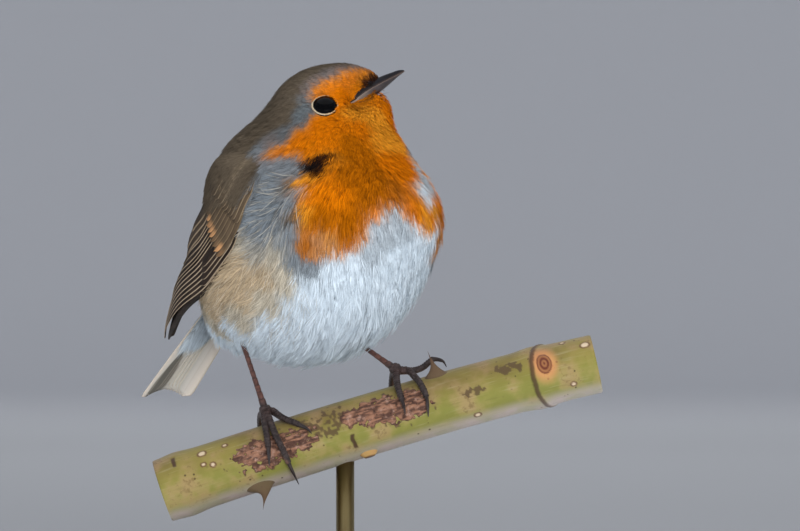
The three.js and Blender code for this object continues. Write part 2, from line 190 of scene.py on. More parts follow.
def waysAt(azimuth, polar):
    # Unit directions for angles round the upright and down from its top.
    flat = np.sin(polar)
    return np.stack(np.broadcast_arrays(flat * np.cos(azimuth), flat * np.sin(azimuth), np.cos(polar)), -1)


def spreadPairs(count):
    # Two sequences of numbers between 0 and 1 whose pairs fill a square evenly.
    order = np.arange(count) + 0.5
    return (order * 0.7548776662) % 1, (order * 0.5698402910) % 1


def unit(vectors):
    return vectors / np.maximum(np.linalg.norm(vectors, axis=-1, keepdims=True), 1e-12)


def smooth(value, low, high):
    # 0 up to low, 1 from high on, and an even bend between.
    share = np.clip((value - low) / (high - low), 0, 1)
    return share * share * (3 - 2 * share)


def shape(points, quads=None, tris=None, marks=None):
    # Points, the four- and three-sided faces between them, and named colours of four numbers at each point.
    return {
        "points": np.asarray(points, float).reshape(-1, 3),
        "quads": np.zeros((0, 4), int) if quads is None else np.asarray(quads, int),
        "tris": np.zeros((0, 3), int) if tris is None else np.asarray(tris, int),
        "marks": marks or {},
    }


def joined(shapes):
    # One shape out of many, with each one's faces moved on by the points before it.
    starts = np.cumsum([0] + [len(one["points"]) for one in shapes])
    return {
        "points": np.concatenate([one["points"] for one in shapes]),
        "quads": np.concatenate([one["quads"] + start for one, start in zip(shapes, starts)]),
        "tris": np.concatenate([one["tris"] + start for one, start in zip(shapes, starts)]),
        "marks": {
            name: np.concatenate([one["marks"][name] for one in shapes]) for name in shapes[0]["marks"]
        },
    }


def facingOut(one):
    # A closed shape's faces turned outwards: its volume, summed from its middle, has to come out positive.
    tris = np.concatenate([one["quads"][:, [0, 1, 2]], one["quads"][:, [0, 2, 3]], one["tris"]])
    corners = one["points"][tris] - one["points"].mean(0)
    volume = np.einsum("ij,ij->i", corners[:, 0], np.cross(corners[:, 1], corners[:, 2])).sum()
    if volume < 0:
        one["quads"] = one["quads"][:, ::-1]
        one["tris"] = one["tris"][:, ::-1]
    return one


def gridFaces(stretches, count, sides):
    # Four-sided faces between closed rings, and back to the first ring after the last.
    row, column = np.meshgrid(np.arange(stretches), np.arange(sides), indexing="ij")
    below, after = (row + 1) % count, (column + 1) % sides
    corners = [row * sides + column, row * sides + after, below * sides + after, below * sides + column]
    return np.stack(corners, -1).reshape(-1, 4)


def loft(rings, marks=None):
    # Closed rings of points, count by sides, skinned one to the next, with a middle point to close each end.
    rings = np.asarray(rings, float)
    count, sides = rings.shape[:2]
    quads = gridFaces(count - 1, count, sides)
    side = np.arange(sides)
    beside = (side + 1) % sides
    first = np.stack([beside, side, np.full(sides, count * sides)], -1)
    last = np.stack([side, beside, np.full(sides, count * sides + 1)], -1)
    last[:, :2] += (count - 1) * sides
    points = np.concatenate([rings.reshape(-1, 3), rings[:1].mean(1), rings[-1:].mean(1)])
    spread = {}
    for name, values in (marks or {}).items():
        values = np.broadcast_to(values, (count, sides, 4)).reshape(-1, 4)
        spread[name] = np.concatenate([values, values[:1], values[-1:]])
    return facingOut(shape(points, quads, np.concatenate([first, last]), spread))


def framesAlong(path, hint):
    # Two units across a path of points, the first as near to the hint as it can be.
    tangent = unit(np.gradient(path, axis=0))
    hint = np.broadcast_to(hint, path.shape)
    across = unit(hint - tangent * np.sum(hint * tangent, -1, keepdims=True))
    return across, np.cross(tangent, across)


def curveThrough(stops, count):
    # A smooth curve through a few stops: each stretch is a cubic whose slopes come from the stops beside it.
    stops = np.asarray(stops, float)
    ends = np.concatenate([[2 * stops[0] - stops[1]], stops, [2 * stops[-1] - stops[-2]]])
    place = np.linspace(0, len(stops) - 1, count)
    index = np.minimum(place.astype(int), len(stops) - 2)
    t = (place - index)[:, None]
    a, b, c, d = (ends[index + shift] for shift in range(4))
    return 0.5 * (2 * b + (c - a) * t + (2 * a - 5 * b + 4 * c - d) * t**2 + (3 * b - a - 3 * c + d) * t**3)


def stopsAt(stops, share):
    # Values read off equally spaced stops, straight between them.
    stops = np.asarray(stops, float)
    place = np.clip(share, 0, 1) * (len(stops) - 1)
    index = np.minimum(place.astype(int), len(stops) - 2)
    part = place - index
    if stops.ndim > 1:
        part = part[..., None]
    return stops[index] * (1 - part) + stops[index + 1] * part


def runOf(line):
    # Distance along a line of points at each of them.
    return np.concatenate([[0], np.cumsum(np.linalg.norm(np.diff(line, axis=0), axis=-1))])


def readAt(wanted, run, values):
    # Rows of three values read off at wanted distances, straight between the ones given.
    return np.stack([np.interp(wanted, run, values[:, axis]) for axis in range(3)], -1)


def sidesOf(path, ups):
    return np.cross(ups, unit(np.gradient(path, axis=1)))


def roundBack(top, under):
    # Rows of a blade's upper side, each carried on back along the underside.
    return np.concatenate([top, under[:, ::-1]], 1)


def tube(path, radii, sides, hint=(0, 0, 1), marks=None, flat=1.0):
    # Circles carried along a path, each with its own radius; flat squeezes them across the hint.
    across, over = framesAlong(path, np.asarray(hint, float))
    angle = turnsOf(sides)
    radii = np.broadcast_to(np.asarray(radii, float).reshape(len(path), -1), (len(path), sides))[..., None]
    ring = across[:, None] * np.cos(angle)[:, None] + over[:, None] * np.sin(angle)[:, None] * flat
    return loft(path[:, None] + ring * radii, marks)


def addPiece(name, one, material, replaces=(), corners=None, facing=None):
    # Writes a shape as an object: faces in one block, marks as point colours, corner places as the bake map.
    mesh = bpy.data.meshes.new(name)
    quads, tris = one["quads"], one["tris"]
    mesh.vertices.add(len(one["points"]))
    mesh.vertices.foreach_set("co", (one["points"] * metresPerUnit).ravel())
    loops = np.concatenate([quads.ravel(), tris.ravel()])
    mesh.loops.add(len(loops))
    mesh.loops.foreach_set("vertex_index", loops)
    mesh.polygons.add(len(quads) + len(tris))
    starts = np.concatenate([np.arange(len(quads)) * 4, len(quads) * 4 + np.arange(len(tris)) * 3])
    mesh.polygons.foreach_set("loop_start", starts)
    mesh.polygons.foreach_set("use_smooth", np.ones(len(starts), bool))
    for key, values in one["marks"].items():
        layer = mesh.attributes.new(key, "FLOAT_COLOR", "POINT")
        layer.data.foreach_set("color", np.asarray(values, np.float32).ravel())
    if corners is not None:
        mesh.uv_layers.new(name="OFBake").data.foreach_set("uv", corners[loops].ravel())
    mesh.update(calc_edges=True)
    if facing is not None:
        mesh.normals_split_custom_set_from_vertices(facing)
    mesh.materials.append(material)
    piece = placed(name, mesh)
    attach(piece, "root")
    if replaces:
        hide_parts(*replaces)


def placed(name, data):
    # An object of the scene for a mesh, a lamp or the camera.
    thing = bpy.data.objects.new(name, data)
    bpy.context.scene.collection.objects.link(thing)
    return thing


# ---- camera
camera = {"at": (18.4, -1500, 88), "sensor": 36, "lens": 256.5, "reachMetres": 100}
cameraData = bpy.data.cameras.new("camera")
cameraData.sensor_width = camera["sensor"]
cameraData.lens = camera["lens"]
cameraData.clip_end = camera["reachMetres"]
cameraObject = placed("camera", cameraData)
cameraObject.location = np.array(camera["at"]) * metresPerUnit
cameraObject.rotation_euler = (np.pi / 2, 0, 0)
bpy.context.scene.camera = cameraObject

# ---- the bird's two frames and its plumage as a field
pose = {
    "trunkCentre": (-3.7, 0, 92.1),
    "headCentre": (-1.6, -3.5, 129.7),
    "bodyYaw": 52,
    "headYaw": 12,
    "headPitch": 24,
}
trunkMasses = [  # centre, radii, nose-up pitch
    ((-6, 0, -5), (27, 28, 24.5), 0),
    ((4, 0, -2.6), (26, 26.6, 22), 0),
    ((10.4, 0, 7.5), (26.2, 27.8, 20.5), 0),
    ((-20, 0, -11), (21, 17, 12.5), 32),
    ((-16, 0, 2), (19, 22, 15), 0),
    ((-4, 0, 17.5), (22.3, 26.5, 19), 0),
    ((7.8, 0, 22.7), (18.2, 19.2, 12.6), 0),
    ((0.6, -3, 29.4), (14.4, 10.4, 12.2), 0),
]
headMasses = [
    ((5.0, 0, -6.7), (9.7, 8.3, 7.6), 0),
    ((-0.8, 0, 0), (11.3, 10, 10.5), 0),
    ((7.9, 0, 0.7), (4.7, 5.8, 5.8), 0),
    ((-5, 0, -2.4), (5.8, 11.8, 8), 0),
    ((11.5, 0, 0.9), (3.7, 1.4, 2.3), 0),
    ((10.8, 0, -4.7), (2.9, 3.5, 1.6), 0),
]
hollowsAt = [  # at, depth, width: round the eyes, and where the face narrows to the bill
    ((2.4, 10, 0.2), 1.3, 4.8),
    ((10.5, 4.5, -2.4), 3.5, 4.9),
]
blendWidth = 2.4
slopeStep = 0.05
flattestSlope = 0.05
farthest = 80.0


def turned(yaw, pitch):
    # Rows forward, left and up: +X turned yaw degrees towards -Y, then pitched nose-up about left.
    yaw, pitch = np.radians(yaw), np.radians(pitch)
    level = np.array([np.cos(yaw), -np.sin(yaw), 0])
    left = np.cross([0, 0, 1], level)
    forward = level * np.cos(pitch) + np.array([0, 0, 1]) * np.sin(pitch)
    return np.array([forward, left, np.cross(forward, left)])


frames = {
    "body": (np.array(pose["trunkCentre"]), turned(pose["bodyYaw"], 0)),
    "head": (np.array(pose["headCentre"]), turned(pose["headYaw"], pose["headPitch"])),
}


def onFrame(name, at):
    centre, axes = frames[name]
    return centre + np.asarray(at, float) @ axes


def seenFrom(name, points):
    # The points as forward, left and up of a frame's centre.
    centre, axes = frames[name]
    return (points - centre) @ axes.T


def massesOf(name, masses):
    # Each ellipsoid's centre, its three axes, pitched nose-up about left, and its radii.
    front, left, up = frames[name][1]
    found = []
    for at, radii, pitch in masses:
        angle = np.radians(pitch)
        forward = front * np.cos(angle) + up * np.sin(angle)
        axes = np.array([forward, left, np.cross(forward, left)])
        found.append((onFrame(name, at), axes, np.array(radii)))
    return found


allMasses = massesOf("body", trunkMasses) + massesOf("head", headMasses)
hollows = [
    (onFrame("head", np.array(at) * (1, side, 1)), depth, width)
    for at, depth, width in hollowsAt for side in (-1, 1)
]


def fieldAt(points):
    # Distances to the ellipsoids run together by a soft minimum, and dented: 0 on the plumage's outside.
    total = 0
    for centre, axes, radii in allMasses:
        local = (points - centre) @ axes.T
        near = np.linalg.norm(local / radii, axis=-1)
        steep = np.linalg.norm(local / radii**2, axis=-1) + 1e-9
        total = total + np.exp(-near * (near - 1) / steep / blendWidth)
    dents = sum(depth * np.exp(-np.sum((points - at) ** 2, -1) / width**2) for at, depth, width in hollows)
    return dents - blendWidth * np.log(total)


def slopeAt(points):
    # The field there and its slope, from a small step along each axis.
    here = fieldAt(points)
    slope = np.stack([(fieldAt(points + step) - here) / slopeStep for step in np.eye(3) * slopeStep], -1)
    return here, slope


def settled(points, level, turns=2):
    # Points moved along the slope until the field there is level; gives the outward directions too.
    for _ in range(turns):
        here, slope = slopeAt(points)
        steep = np.sum(slope**2, -1)
        points = points + slope * ((level - here) / np.maximum(steep, flattestSlope))[..., None]
    return points, unit(slope)


def castOut(origin, directions, level):
    # Points out from an origin inside the bird where the field reaches level, found by halving.
    low, high = np.zeros(len(directions)), np.full(len(directions), farthest)
    for _ in range(22):
        middle = (low + high) / 2
        inside = fieldAt(origin + directions * middle[:, None]) < level
        low, high = np.where(inside, middle, low), np.where(inside, high, middle)
    return origin + directions * low[:, None]


def blended(places, points, softness):
    # Shares of several places at each point: each weighs exp(-distance / softness), and they add up to 1.
    weights = []
    local = {name: seenFrom(name, points) for name in frames}
    for name, at, mirrored in places:
        away = np.linalg.norm(local[name] - at, axis=-1)
        if mirrored:
            away = np.minimum(away, np.linalg.norm(local[name] - np.array(at) * (1, -1, 1), axis=-1))
        weights.append(np.exp(-away / softness))
    weights = np.array(weights) + 1e-30
    return weights / weights.sum(0)


# ---- plumage markings
# Where each colour lies: forward, left and up of the middle of the head or body. Places on the head and far
# out to a side hold for both sides.
markPlaces = {
    "orange": {
        "head": [
            (15.5, 0, 2.5), (13.5, -2.5, 3.5), (11, -4.5, 4), (9, -6.5, 4), (6, -8.5, 4), (4, -9, 3.5),
            (1.5, -10, 3), (7, -8, 0), (11.5, -3.5, 0), (1, -15, -5), (-0.5, -16.5, -6), (-6, -18, -6.5),
            (-7, -19.5, -7.5), (-5, -21, -10), (-4, -22.5, -12), (-1.5, -21.5, -12), (1.5, -20, -12),
            (-9, -20.5, -9), (-11, -20.2, -8.2), (-13, -19.5, -7.3), (15, -2.5, -3.5), (10, -12, -10),
            (15.5, 0, -9), (0, -20, -10),
        ],
        "body": [
            (30, 6, 21), (25, -14, 22), (26, -15.5, 19.5), (23, -20, 17), (26.5, -19.5, 15.5),
            (29, -18, 14), (30, -16, 12), (36, 3, 10.5), (35.5, 7, 11), (36, 6, 8.5), (33.5, 13, 7.5),
            (35.5, -7, 9.5), (25, -21.5, 13),
        ],
    },
    "rust": {
        "head": [(5, -20, -14.5)],
        "body": [
            (28, -12, 20), (34, -5, 14), (34, -7.5, 15), (36, -1, 13), (36, -4, 12), (28, -20, 10),
            (27, -21.5, 6), (32, -16, 9.5), (34, -12.5, 7), (35, -9, 11.5), (34, -11, 4), (30, -18.5, 6.5),
            (32, -15, 4.5), (29.5, -18, 2), (31.5, -14.5, 1.5), (27.5, -20.5, 2.5), (25.5, -21.5, 2),
            (33, -14.5, 7),
        ],
    },
    # Amber on the head is painted light that brightens the throat under the bill, which faces down.
    "amber": {
        "head": [(12, -8.5, -9.5), (13, -8.5, -13), (11, -9, -7.5)],
        "body": [
            (20.5, -21.5, 18), (22, -20.5, 18), (35.5, 8.5, 10), (34, 11.5, 6), (33, 14, 10), (24, -23, 10),
            (28.5, -18, 2.5),
        ],
    },
    # Grey: blue-grey feathers; where a breast place also holds white, it is painted shade on the white.
    "grey": {
        "head": [
            (14.5, -1, 4.8), (12.5, -2.5, 5.8), (10.5, -4.5, 6), (8, -6.5, 6), (5.5, -7.5, 6), (3, -9, 5.5),
            (0.5, -10, 4.8), (-1, -11.5, 3), (-2, -13, 1), (-3.5, -14.5, -1), (-4.5, -15.5, -2.5),
            (-8, -17, -4), (-9.5, -18, -5), (-11.5, -18.5, -6), (-13.5, -18.5, -6), (-16, -18, -6),
        ],
        "body": [
            (14.5, -20.5, 23), (13, -21.5, 22.5), (10, -22.5, 22), (16.5, -20, 22.5), (18.5, -20.5, 20.5),
            (12, -24, 18), (18, -24, 18), (22.5, -23, 16), (21, -25, 12), (16, -28, 8), (22, -26, 5),
            (18, -26, 1), (20, -24, -3), (24.5, -20, -5), (-40, 0, -14), (36.5, -2.5, 9), (36, -5.5, 7.5),
            (35.5, -7.5, 4.5), (34, -9, 0.5), (36.5, 1, 7.5), (36.5, 3.5, 5), (28.5, 15.9, 16.5),
            (13, -28, 4), (16, -27, 11.5), (10, -27.5, 8), (11, -28, 0.5), (27.5, -20.5, 2.5),
            (29.5, -18, 2),
        ],
    },
    # Slate: dark spots by the bill's root, and on the body a painted shadow in a parting of the feathers.
    "slate": {
        "head": [(14, -2.5, 0.5), (15, -2, 1), (16, -1.5, 1.5), (13.8, -2, -0.4)],
        "body": [
            (23, -14.5, 23.3), (22.5, -15.5, 22.8), (22, -17, 22), (21, -18, 21.8), (23.5, -16.5, 21.5),
        ],
    },
    "olive": {
        "head": [
            (10, -2, 8), (10, 0, 8), (6.5, -3, 9.5), (6, 0, 10), (3, -5.5, 9), (-0.5, -7.5, 8.5),
            (-3, -10, 6), (-5, -12.5, 2.5), (-8, -14, 0), (-4, 0, 11), (-12, -12, 2),
        ],
        "body": [
            (-16, -16, 28), (0, -22, 28), (-22, 0, 26), (-10, -22, 24), (4, -25, 22), (-24, -16, 14),
            (2, -27, 14), (-2, -28, 7), (19, -23, 17), (22.5, -24.5, 8.5), (-36, 0, 0), (-32, -10, -2),
            (-32, 10, -2),
        ],
    },
    "buff": {
        "body": [
            (0.5, -28.5, -5.5), (4, -28, -3.5), (-7, -27.5, -10.5), (6.5, -27, -9), (13, -26, -7),
            (-30, 14, -12), (-30, -14, -12), (3, -27, -12), (-14, -24, -14),
        ],
    },
    "cream": {
        "body": [
            (17, -26, 0), (11, -28, 0), (4, -28, 2), (16, -24, -5), (17, -22, -10), (-1.5, -23.5, -18),
            (9, -24.5, -13), (-21.5, -17.5, -20), (-25.5, -17.5, -16.5),
        ],
    },
    "white": {
        "body": [
            (33.2, 12, 14), (36.5, -2.5, 9), (36, -5.5, 7.5), (35.5, -7.5, 4.5), (34, -9, 0.5),
            (31.5, -12, -1.5), (29, -15, -4), (36.5, 1, 7.5), (36.5, 3.5, 5), (36, 6, 4), (34, 9.5, 1.5),
            (33, 12, 1.5), (32.5, 14, 3), (30.5, 15.5, 1), (28.5, 15.9, 16.5), (33, 10, -0.5), (34, 2, -2),
            (28, -16, -6), (26.5, -17.5, -6), (27, 10, -10), (28, -7, -10), (20, -14, -16),
            (17, -20.5, -13), (21, -20, -10), (5.5, -19.5, -21), (-9, -20, -22), (-25, -12, -23),
            (-26, -14, -21), (-24.5, -9.5, -24.5), (-26.5, -5.5, -26), (-38, 0, -24), (-2, -17, -24),
            (32, 15.5, 5.5),
        ],
    },
}
marking = {
    "softness": 0.7,
    "oneSidedWithin": 16,
    "scatterHead": 0.45,
    "scatterBody": 0.6,
    # Slate weighs more, which deepens its spots and the painted shadow.
    "weights": {"slate": 2.6},
    "tones": {
        "orange": "c66c04",
        "rust": "a15803",
        "amber": "d28a22",
        "grey": "767e84",
        "slate": "0a0b0d",
        "olive": "5a5043",
        "buff": "b7a385",
        "cream": "b6ae9c",
        "white": "cbd8e1",
    },
    "ash": "5c6367",
    "root": "4a4d55",
    "ashAboveMetres": (0.112, 0.122),
}


def marksAt(points, scatter):
    # Each colour's share at each point, once the point is shifted by its scatter, a normal deviate per axis.
    up = seenFrom("head", points)[:, 2:]
    reach = np.where(up > -14, marking["scatterHead"], marking["scatterBody"])
    places, owners = [], []
    for colour, byFrame in markPlaces.items():
        for name, spots in byFrame.items():
            for at in spots:
                wide = abs(at[1]) >= marking["oneSidedWithin"] and colour != "slate"
                places.append((name, at, name == "head" or wide))
                owners.append(colour)
    owners = np.array(owners)
    shares = blended(places, points + scatter * reach, marking["softness"])
    totals = {
        colour: shares[owners == colour].sum(0) * marking["weights"].get(colour, 1.0)
        for colour in markPlaces
    }
    whole = sum(totals.values())
    return {colour: total / whole for colour, total in totals.items()}


def sharesOf(count, **given):
    # Shares for pieces whose colours don't follow the places: the given ones, and none of the others.
    return dict.fromkeys(markPlaces, np.zeros(count)) | given


def markColumns(shares):
    # The shares as two four-part point colours. White is what is left over.
    warm = np.stack([shares[colour] for colour in ("orange", "rust", "amber", "grey")], -1)
    cool = np.stack([shares[colour] for colour in ("slate", "olive", "buff", "cream")], -1)
    return {"warmMarks": warm, "coolMarks": cool}


def plumagePaint(name):
    # Sum of the colours by their shares, amber where orange runs out, and lighter or darker by tuft and
    # barb, partly at random and partly as painted highlights on the bright barbs that lie on top. Painted
    # shade darkens each barb towards its root, and the root tone is the real slate grey of feather bases.
    # Grey turns to ash on the head.
    paint = Paint(name, Roughness=0.9, Specular_IOR_Level=0.05)
    orange, rust, amber, grey = paint.channels("warmMarks")
    slate, olive, buff, cream = paint.channels("coolMarks")
    along, tuft, barb, fluff = paint.channels("strand")
    white = 1 - (orange + rust + amber + grey + slate + olive + buff + cream)
    shares = [orange, rust, amber, grey, slate, olive, buff, cream, white]
    height = paint.add("ShaderNodeSeparateXYZ", inputs={0: paint.place}, output=2)
    onHead = paint.step(height, *marking["ashAboveMetres"])
    total = None
    for colour, share in zip(marking["tones"], shares):
        shade = tone(marking["tones"][colour])
        if colour == "grey":
            shade = paint.mix(onHead, shade, tone(marking["ash"]))
        inputs = {0: total or (0, 0, 0), 1: paint.scaled(shade, share)}
        total = paint.add("ShaderNodeVectorMath", {"operation": "ADD"}, inputs)
    warm = orange + rust
    edge = warm * (1 - warm) * 4 * (1 - olive) * (1 - grey * 0.5) * (1 - slate) * 0.4
    total = paint.layered(total, (edge, marking["tones"]["amber"]))
    gain = 0.6 - white * 0.36 - orange * 0.02
    # Painted highlights on the bright barbs, and painted shade that darkens each barb towards its root.
    lightness = (0.92 - gain * 0.5 + tuft * 0.12 + barb * gain) * paint.step(along, 0, 0.5, 0.62, 1)
    shaded = paint.scaled(total, lightness)
    deep = paint.layered(shaded, (paint.step(along, 0.0, 0.35, 0.45, 0), marking["root"]))
    return paint.wear(Base_Color=paint.mix(fluff, shaded, deep))


plumage = plumagePaint("plumage")
print("markings and plumage material ready")

# ---- eyes' places, which the skin and the coat keep clear of
eye = {"forward": 2.7, "up": -0.95, "radius": 3.7, "sunk": 2.3}
eyeCentres = []
eyeWays = []
for side in (-1, 1):
    sideways = frames["head"][1][1] * side
    surface = castOut(onFrame("head", (eye["forward"], 0, eye["up"])), sideways[None], 0)
    outward = unit(slopeAt(surface)[1])[0]
    eyeWays.append(outward)
    eyeCentres.append(surface[0] - outward * eye["sunk"])

# ---- wings
wing = {
    "line": [
        (6.5, 23.5, 24.5), (3.5, 27.4, 17.5), (-3, 29.3, 7.5), (-12.5, 29, -1.5),
        (-25.4, 25.8, -9), (-39, 19.4, -17.2), (-51.2, 12, -23.2),
    ],
    "halfWidths": [3, 9, 11.5, 11.5, 9, 5.2, 1],
    "facing": [
        (0.2, 0.9, 0.4), (0.1, 0.95, 0.28), (-0.08, 0.97, 0.2), (-0.22, 0.95, 0.2),
        (-0.42, 0.87, 0.25), (-0.46, 0.82, 0.34), (-0.46, 0.8, 0.38),
    ],
    "lift": 1.2,
    "sink": 0.8,
    "edgeDrop": 0.75,
    "arch": 26,
    "overFront": 0.8,
    "overBack": 1.4,
    "backArch": 17,
    "thickness": [2.2, 3.4, 3.8, 3.4, 2.4, 1.4, 0.5],
    # start along and across, end along and across, half-width at its middle, how high it lies at its start
    # and end. Along runs 0 at the shoulder to 1 at the tip, across -1 at the front edge to 1 at the back.
    "feathers": {
        "primary": [
            (0.38, -0.9 + 0.11 * i, 1.0 - 0.024 * i, -0.7 + 0.2 * i, 0.17, 0.1 * i, 0.05 + 0.09 * i)
            for i in range(7)
        ],
        "secondary": [
            (0.36, -0.16 + 0.11 * i, 0.83 - 0.03 * i, 0.5 + 0.09 * i, 0.17, 0.92 + 0.09 * i, 0.88 + 0.09 * i)
            for i in range(5)
        ],
        "tertial": [
            (0.34, 0.34 + 0.18 * i, 0.68 - 0.06 * i, 0.66 + 0.1 * i, 0.26, 1.4 + 0.12 * i, 1.4 + 0.12 * i)
            for i in range(3)
        ],
        "primaryCovert": [
            (0.30, -0.95 + 0.1 * i, 0.52 - 0.012 * i, -0.9 + 0.13 * i, 0.13, 0.6 + 0.1 * i, 0.6 + 0.1 * i)
            for i in range(4)
        ],
        "greaterCovert": [
            (
                0.2, -0.85 + 0.155 * i, 0.41 - 0.004 * i, -0.78 + 0.15 * i, 0.15,
                0.95 + 0.1 * i, 1.05 + 0.1 * i,
            )
            for i in range(9)
        ],
        "medianCovert": [
            (0.12, -0.8 + 0.16 * i, 0.285, -0.78 + 0.16 * i, 0.17, 0.9 + 0.08 * i, 1.25 + 0.09 * i)
            for i in range(9)
        ],
    },
    "vaneThickness": 0.12,
    "tufts": 1500,
}


def wingAt(side, a, b, lift=0.0):
    # A point on a folded wing's outside and the way out there, for arrays of along and across.
    flip = np.array([1, side, 1])
    centres = np.array([onFrame("body", np.array(at) * flip) for at in wing["line"]])
    dense = curveThrough(centres, 241)
    tangents = unit(np.gradient(dense, axis=0))
    centre, tangent = stopsAt(dense, a), unit(stopsAt(tangents, a))
    ways = np.array([unit(np.array(way) * flip) @ frames["body"][1] for way in wing["facing"]])
    out = unit(stopsAt(ways, a))
    across = unit(np.cross(out, tangent)) * side
    half = stopsAt(wing["halfWidths"], a) * b * np.where(b > 0, wing["overBack"], wing["overFront"])
    arch = np.where(b > 0, wing["backArch"], wing["arch"])
    points = centre + across * half[..., None] - out * (half**2 / (2 * arch))[..., None]
    wanted = wing["lift"] * (1 - wing["edgeDrop"] * np.minimum(np.abs(b), 1.1) ** 4) * smooth(a, -0.05, 0.16)
    for _ in range(3):
        here, slope = slopeAt(points)
        short = np.maximum(wanted - here, 0)
        points = points + slope * (short / np.sum(slope**2, -1))[..., None]
    outward = unit(out + slopeAt(points)[1] * 0.6 + across * (half / arch * 0.5)[..., None])
    return points + outward * (np.asarray(lift) - wing["sink"] * smooth(b, 0.0, 0.6))[..., None], outward


wingEdges = [wingAt(side, np.linspace(0.02, 0.6, 24), np.full(24, -1.0))[0] for side in (-1, 1)]

# ---- lie, length and depth of the coat
coat = {
    "tufts": 17000,
    "softness": 5,
    "steps": 5,
    "rise": 1.6,
    "angleScatter": 9,
    "clumpSize": 5.5,
    "clumpAngle": 11,
    "eyeClearance": 3.5,
    "overWing": 1.4,
    "underWing": 4.5,
    # frame and place, then tuft length, half-width, depth of its root, spacing, barbs, barb half-width and
    # how far the tip stands off
    "places": {
        "forehead": ("head", (13, 0, 6), 2.2, 0.8, 0.5, 0.42, 9, 0.05, 0.05),
        "face": ("head", (13, -4, -1), 1.8, 0.7, 0.6, 0.38, 9, 0.045, 0.0),
        "besideEye": ("head", (3, -10, 0), 1.8, 0.7, 0.7, 0.38, 9, 0.045, 0.0),
        "cheek": ("head", (3, -13, -8), 3.8, 1.1, 1.3, 0.55, 11, 0.055, 0.0),
        "crown": ("head", (0, 0, 11), 3.4, 1.0, 1.0, 0.5, 11, 0.055, -0.1),
        "chin": ("head", (14.5, 0, -4.5), 2.2, 0.8, 0.3, 0.42, 10, 0.05, 0.35),
        "throat": ("head", (10, 0, -15), 5.0, 1.3, 1.6, 0.7, 13, 0.06, 0.1),
        "nape": ("head", (-12, 0, 0), 5.0, 1.3, 1.5, 0.7, 12, 0.065, -0.1),
        "mantle": ("body", (-12, 0, 32), 8.0, 1.9, 2.2, 1.05, 16, 0.08, -0.2),
        "breast": ("body", (34, 0, 14), 7.0, 1.8, 2.4, 0.95, 15, 0.065, 0.0),
        "breastSide": ("body", (20, -21, 14), 8.5, 1.7, 2.6, 0.95, 14, 0.065, 0.1),
        "belly": ("body", (20, 0, -22), 10, 1.8, 3.0, 1.05, 15, 0.07, 0.7),
        "flank": ("body", (0, -26, -8), 10.5, 1.7, 3.0, 1.05, 14, 0.07, 0.1),
        "rump": ("body", (-30, 0, 6), 9.0, 1.9, 2.6, 1.15, 15, 0.08, 0.0),
        "vent": ("body", (-16, 0, -28), 10, 1.8, 3.2, 1.15, 14, 0.075, 0.7),
    },
}


def coatAt(points):
    # Tuft sizes at points on the bird: a mean of the places' sizes by their shares there.
    entries = list(coat["places"].values())
    shares = blended([(name, at, True) for name, at, *sizes in entries], points, coat["softness"])
    sizes = np.array([entry[2:] for entry in entries], float)
    return shares.T @ sizes


def depthAt(points):
    return coatAt(points)[:, 2]


def fromWingEdges(points):
    # Distances from the front edge of each folded wing.
    return [np.min(np.linalg.norm(points[:, None] - edge[None], axis=-1), 1) for edge in wingEdges]


def layAt(points, facing):
    # Away from the bill's root on the head, towards the tail on the trunk, hanging more the further forward,
    # and round the eyes. All of it lies along the surface.
    head = seenFrom("head", points)
    body = seenFrom("body", points)
    toTail = unit(onFrame("body", (-36, 0, -24)) - points)
    toTail[:, 2] -= smooth(body[:, 0], -10, 28) * 0.9
    onTrunk = smooth(np.linalg.norm(head, axis=-1), 13, 25)[:, None]
    way = unit(points - onFrame("head", (14, 0, -1))) * (1 - onTrunk) + unit(toTail) * onTrunk
    for centre in eyeCentres:
        away = points - centre
        near = np.exp(-np.maximum(np.linalg.norm(away, axis=-1) - 3.0, 0) / 1.1)[:, None]
        way = way * (1 - 0.9 * near) + unit(away) * near * 1.2
    for away in fromWingEdges(points):
        near = (smooth(away, 11, 3) * smooth(body[:, 2], -12, 2) * smooth(body[:, 2], 24, 16))[:, None]
        way = way * (1 - 0.75 * near) - frames["body"][1][0] * 0.85 * near
    way = way - facing * np.sum(way * facing, -1, keepdims=True)
    return unit(way)


# ---- skin: one closed surface under head, neck and trunk
skin = {
    "columns": 376,
    "rows": 252,
    "poleGap": 0.004,
    "castFrom": (0, 0, 18),
    "lidRadius": 3.02,
    "lidThickness": 0.26,
    "lidLift": 2.05,
}
skinOrigin = onFrame("body", skin["castFrom"])


def skinPoints(azimuth, polar):
    # Cast out from a point in the breast to the depth of the coat, whose depth is read on the outside first.
    ways = waysAt(azimuth, polar)
    outside = castOut(skinOrigin, ways, 0)
    return castOut(skinOrigin, ways, -depthAt(outside))


def skinShape():
    # Rings at even angles from the upright through the breast, coloured as the coat is.
    columns, rows = skin["columns"], skin["rows"]
    polar = np.linspace(skin["poleGap"], np.pi - skin["poleGap"], rows)
    wide, high = np.meshgrid(turnsOf(columns), polar)
    points = skinPoints(wide.ravel(), high.ravel())
    one = loft(points.reshape(rows, columns, 3))
    one["marks"] = markColumns(marksAt(one["points"], np.zeros(3)))
    strand = np.full((len(one["points"]), 4), 0.5)
    strand[:, 3] = 1
    one["marks"]["strand"] = strand
    return one


def eyeAxes(outward):
    # Forward and up as seen straight into an eye.
    forward = frames["head"][1][0]
    across = unit(forward - outward * np.dot(forward, outward))
    return across, np.cross(outward, across)


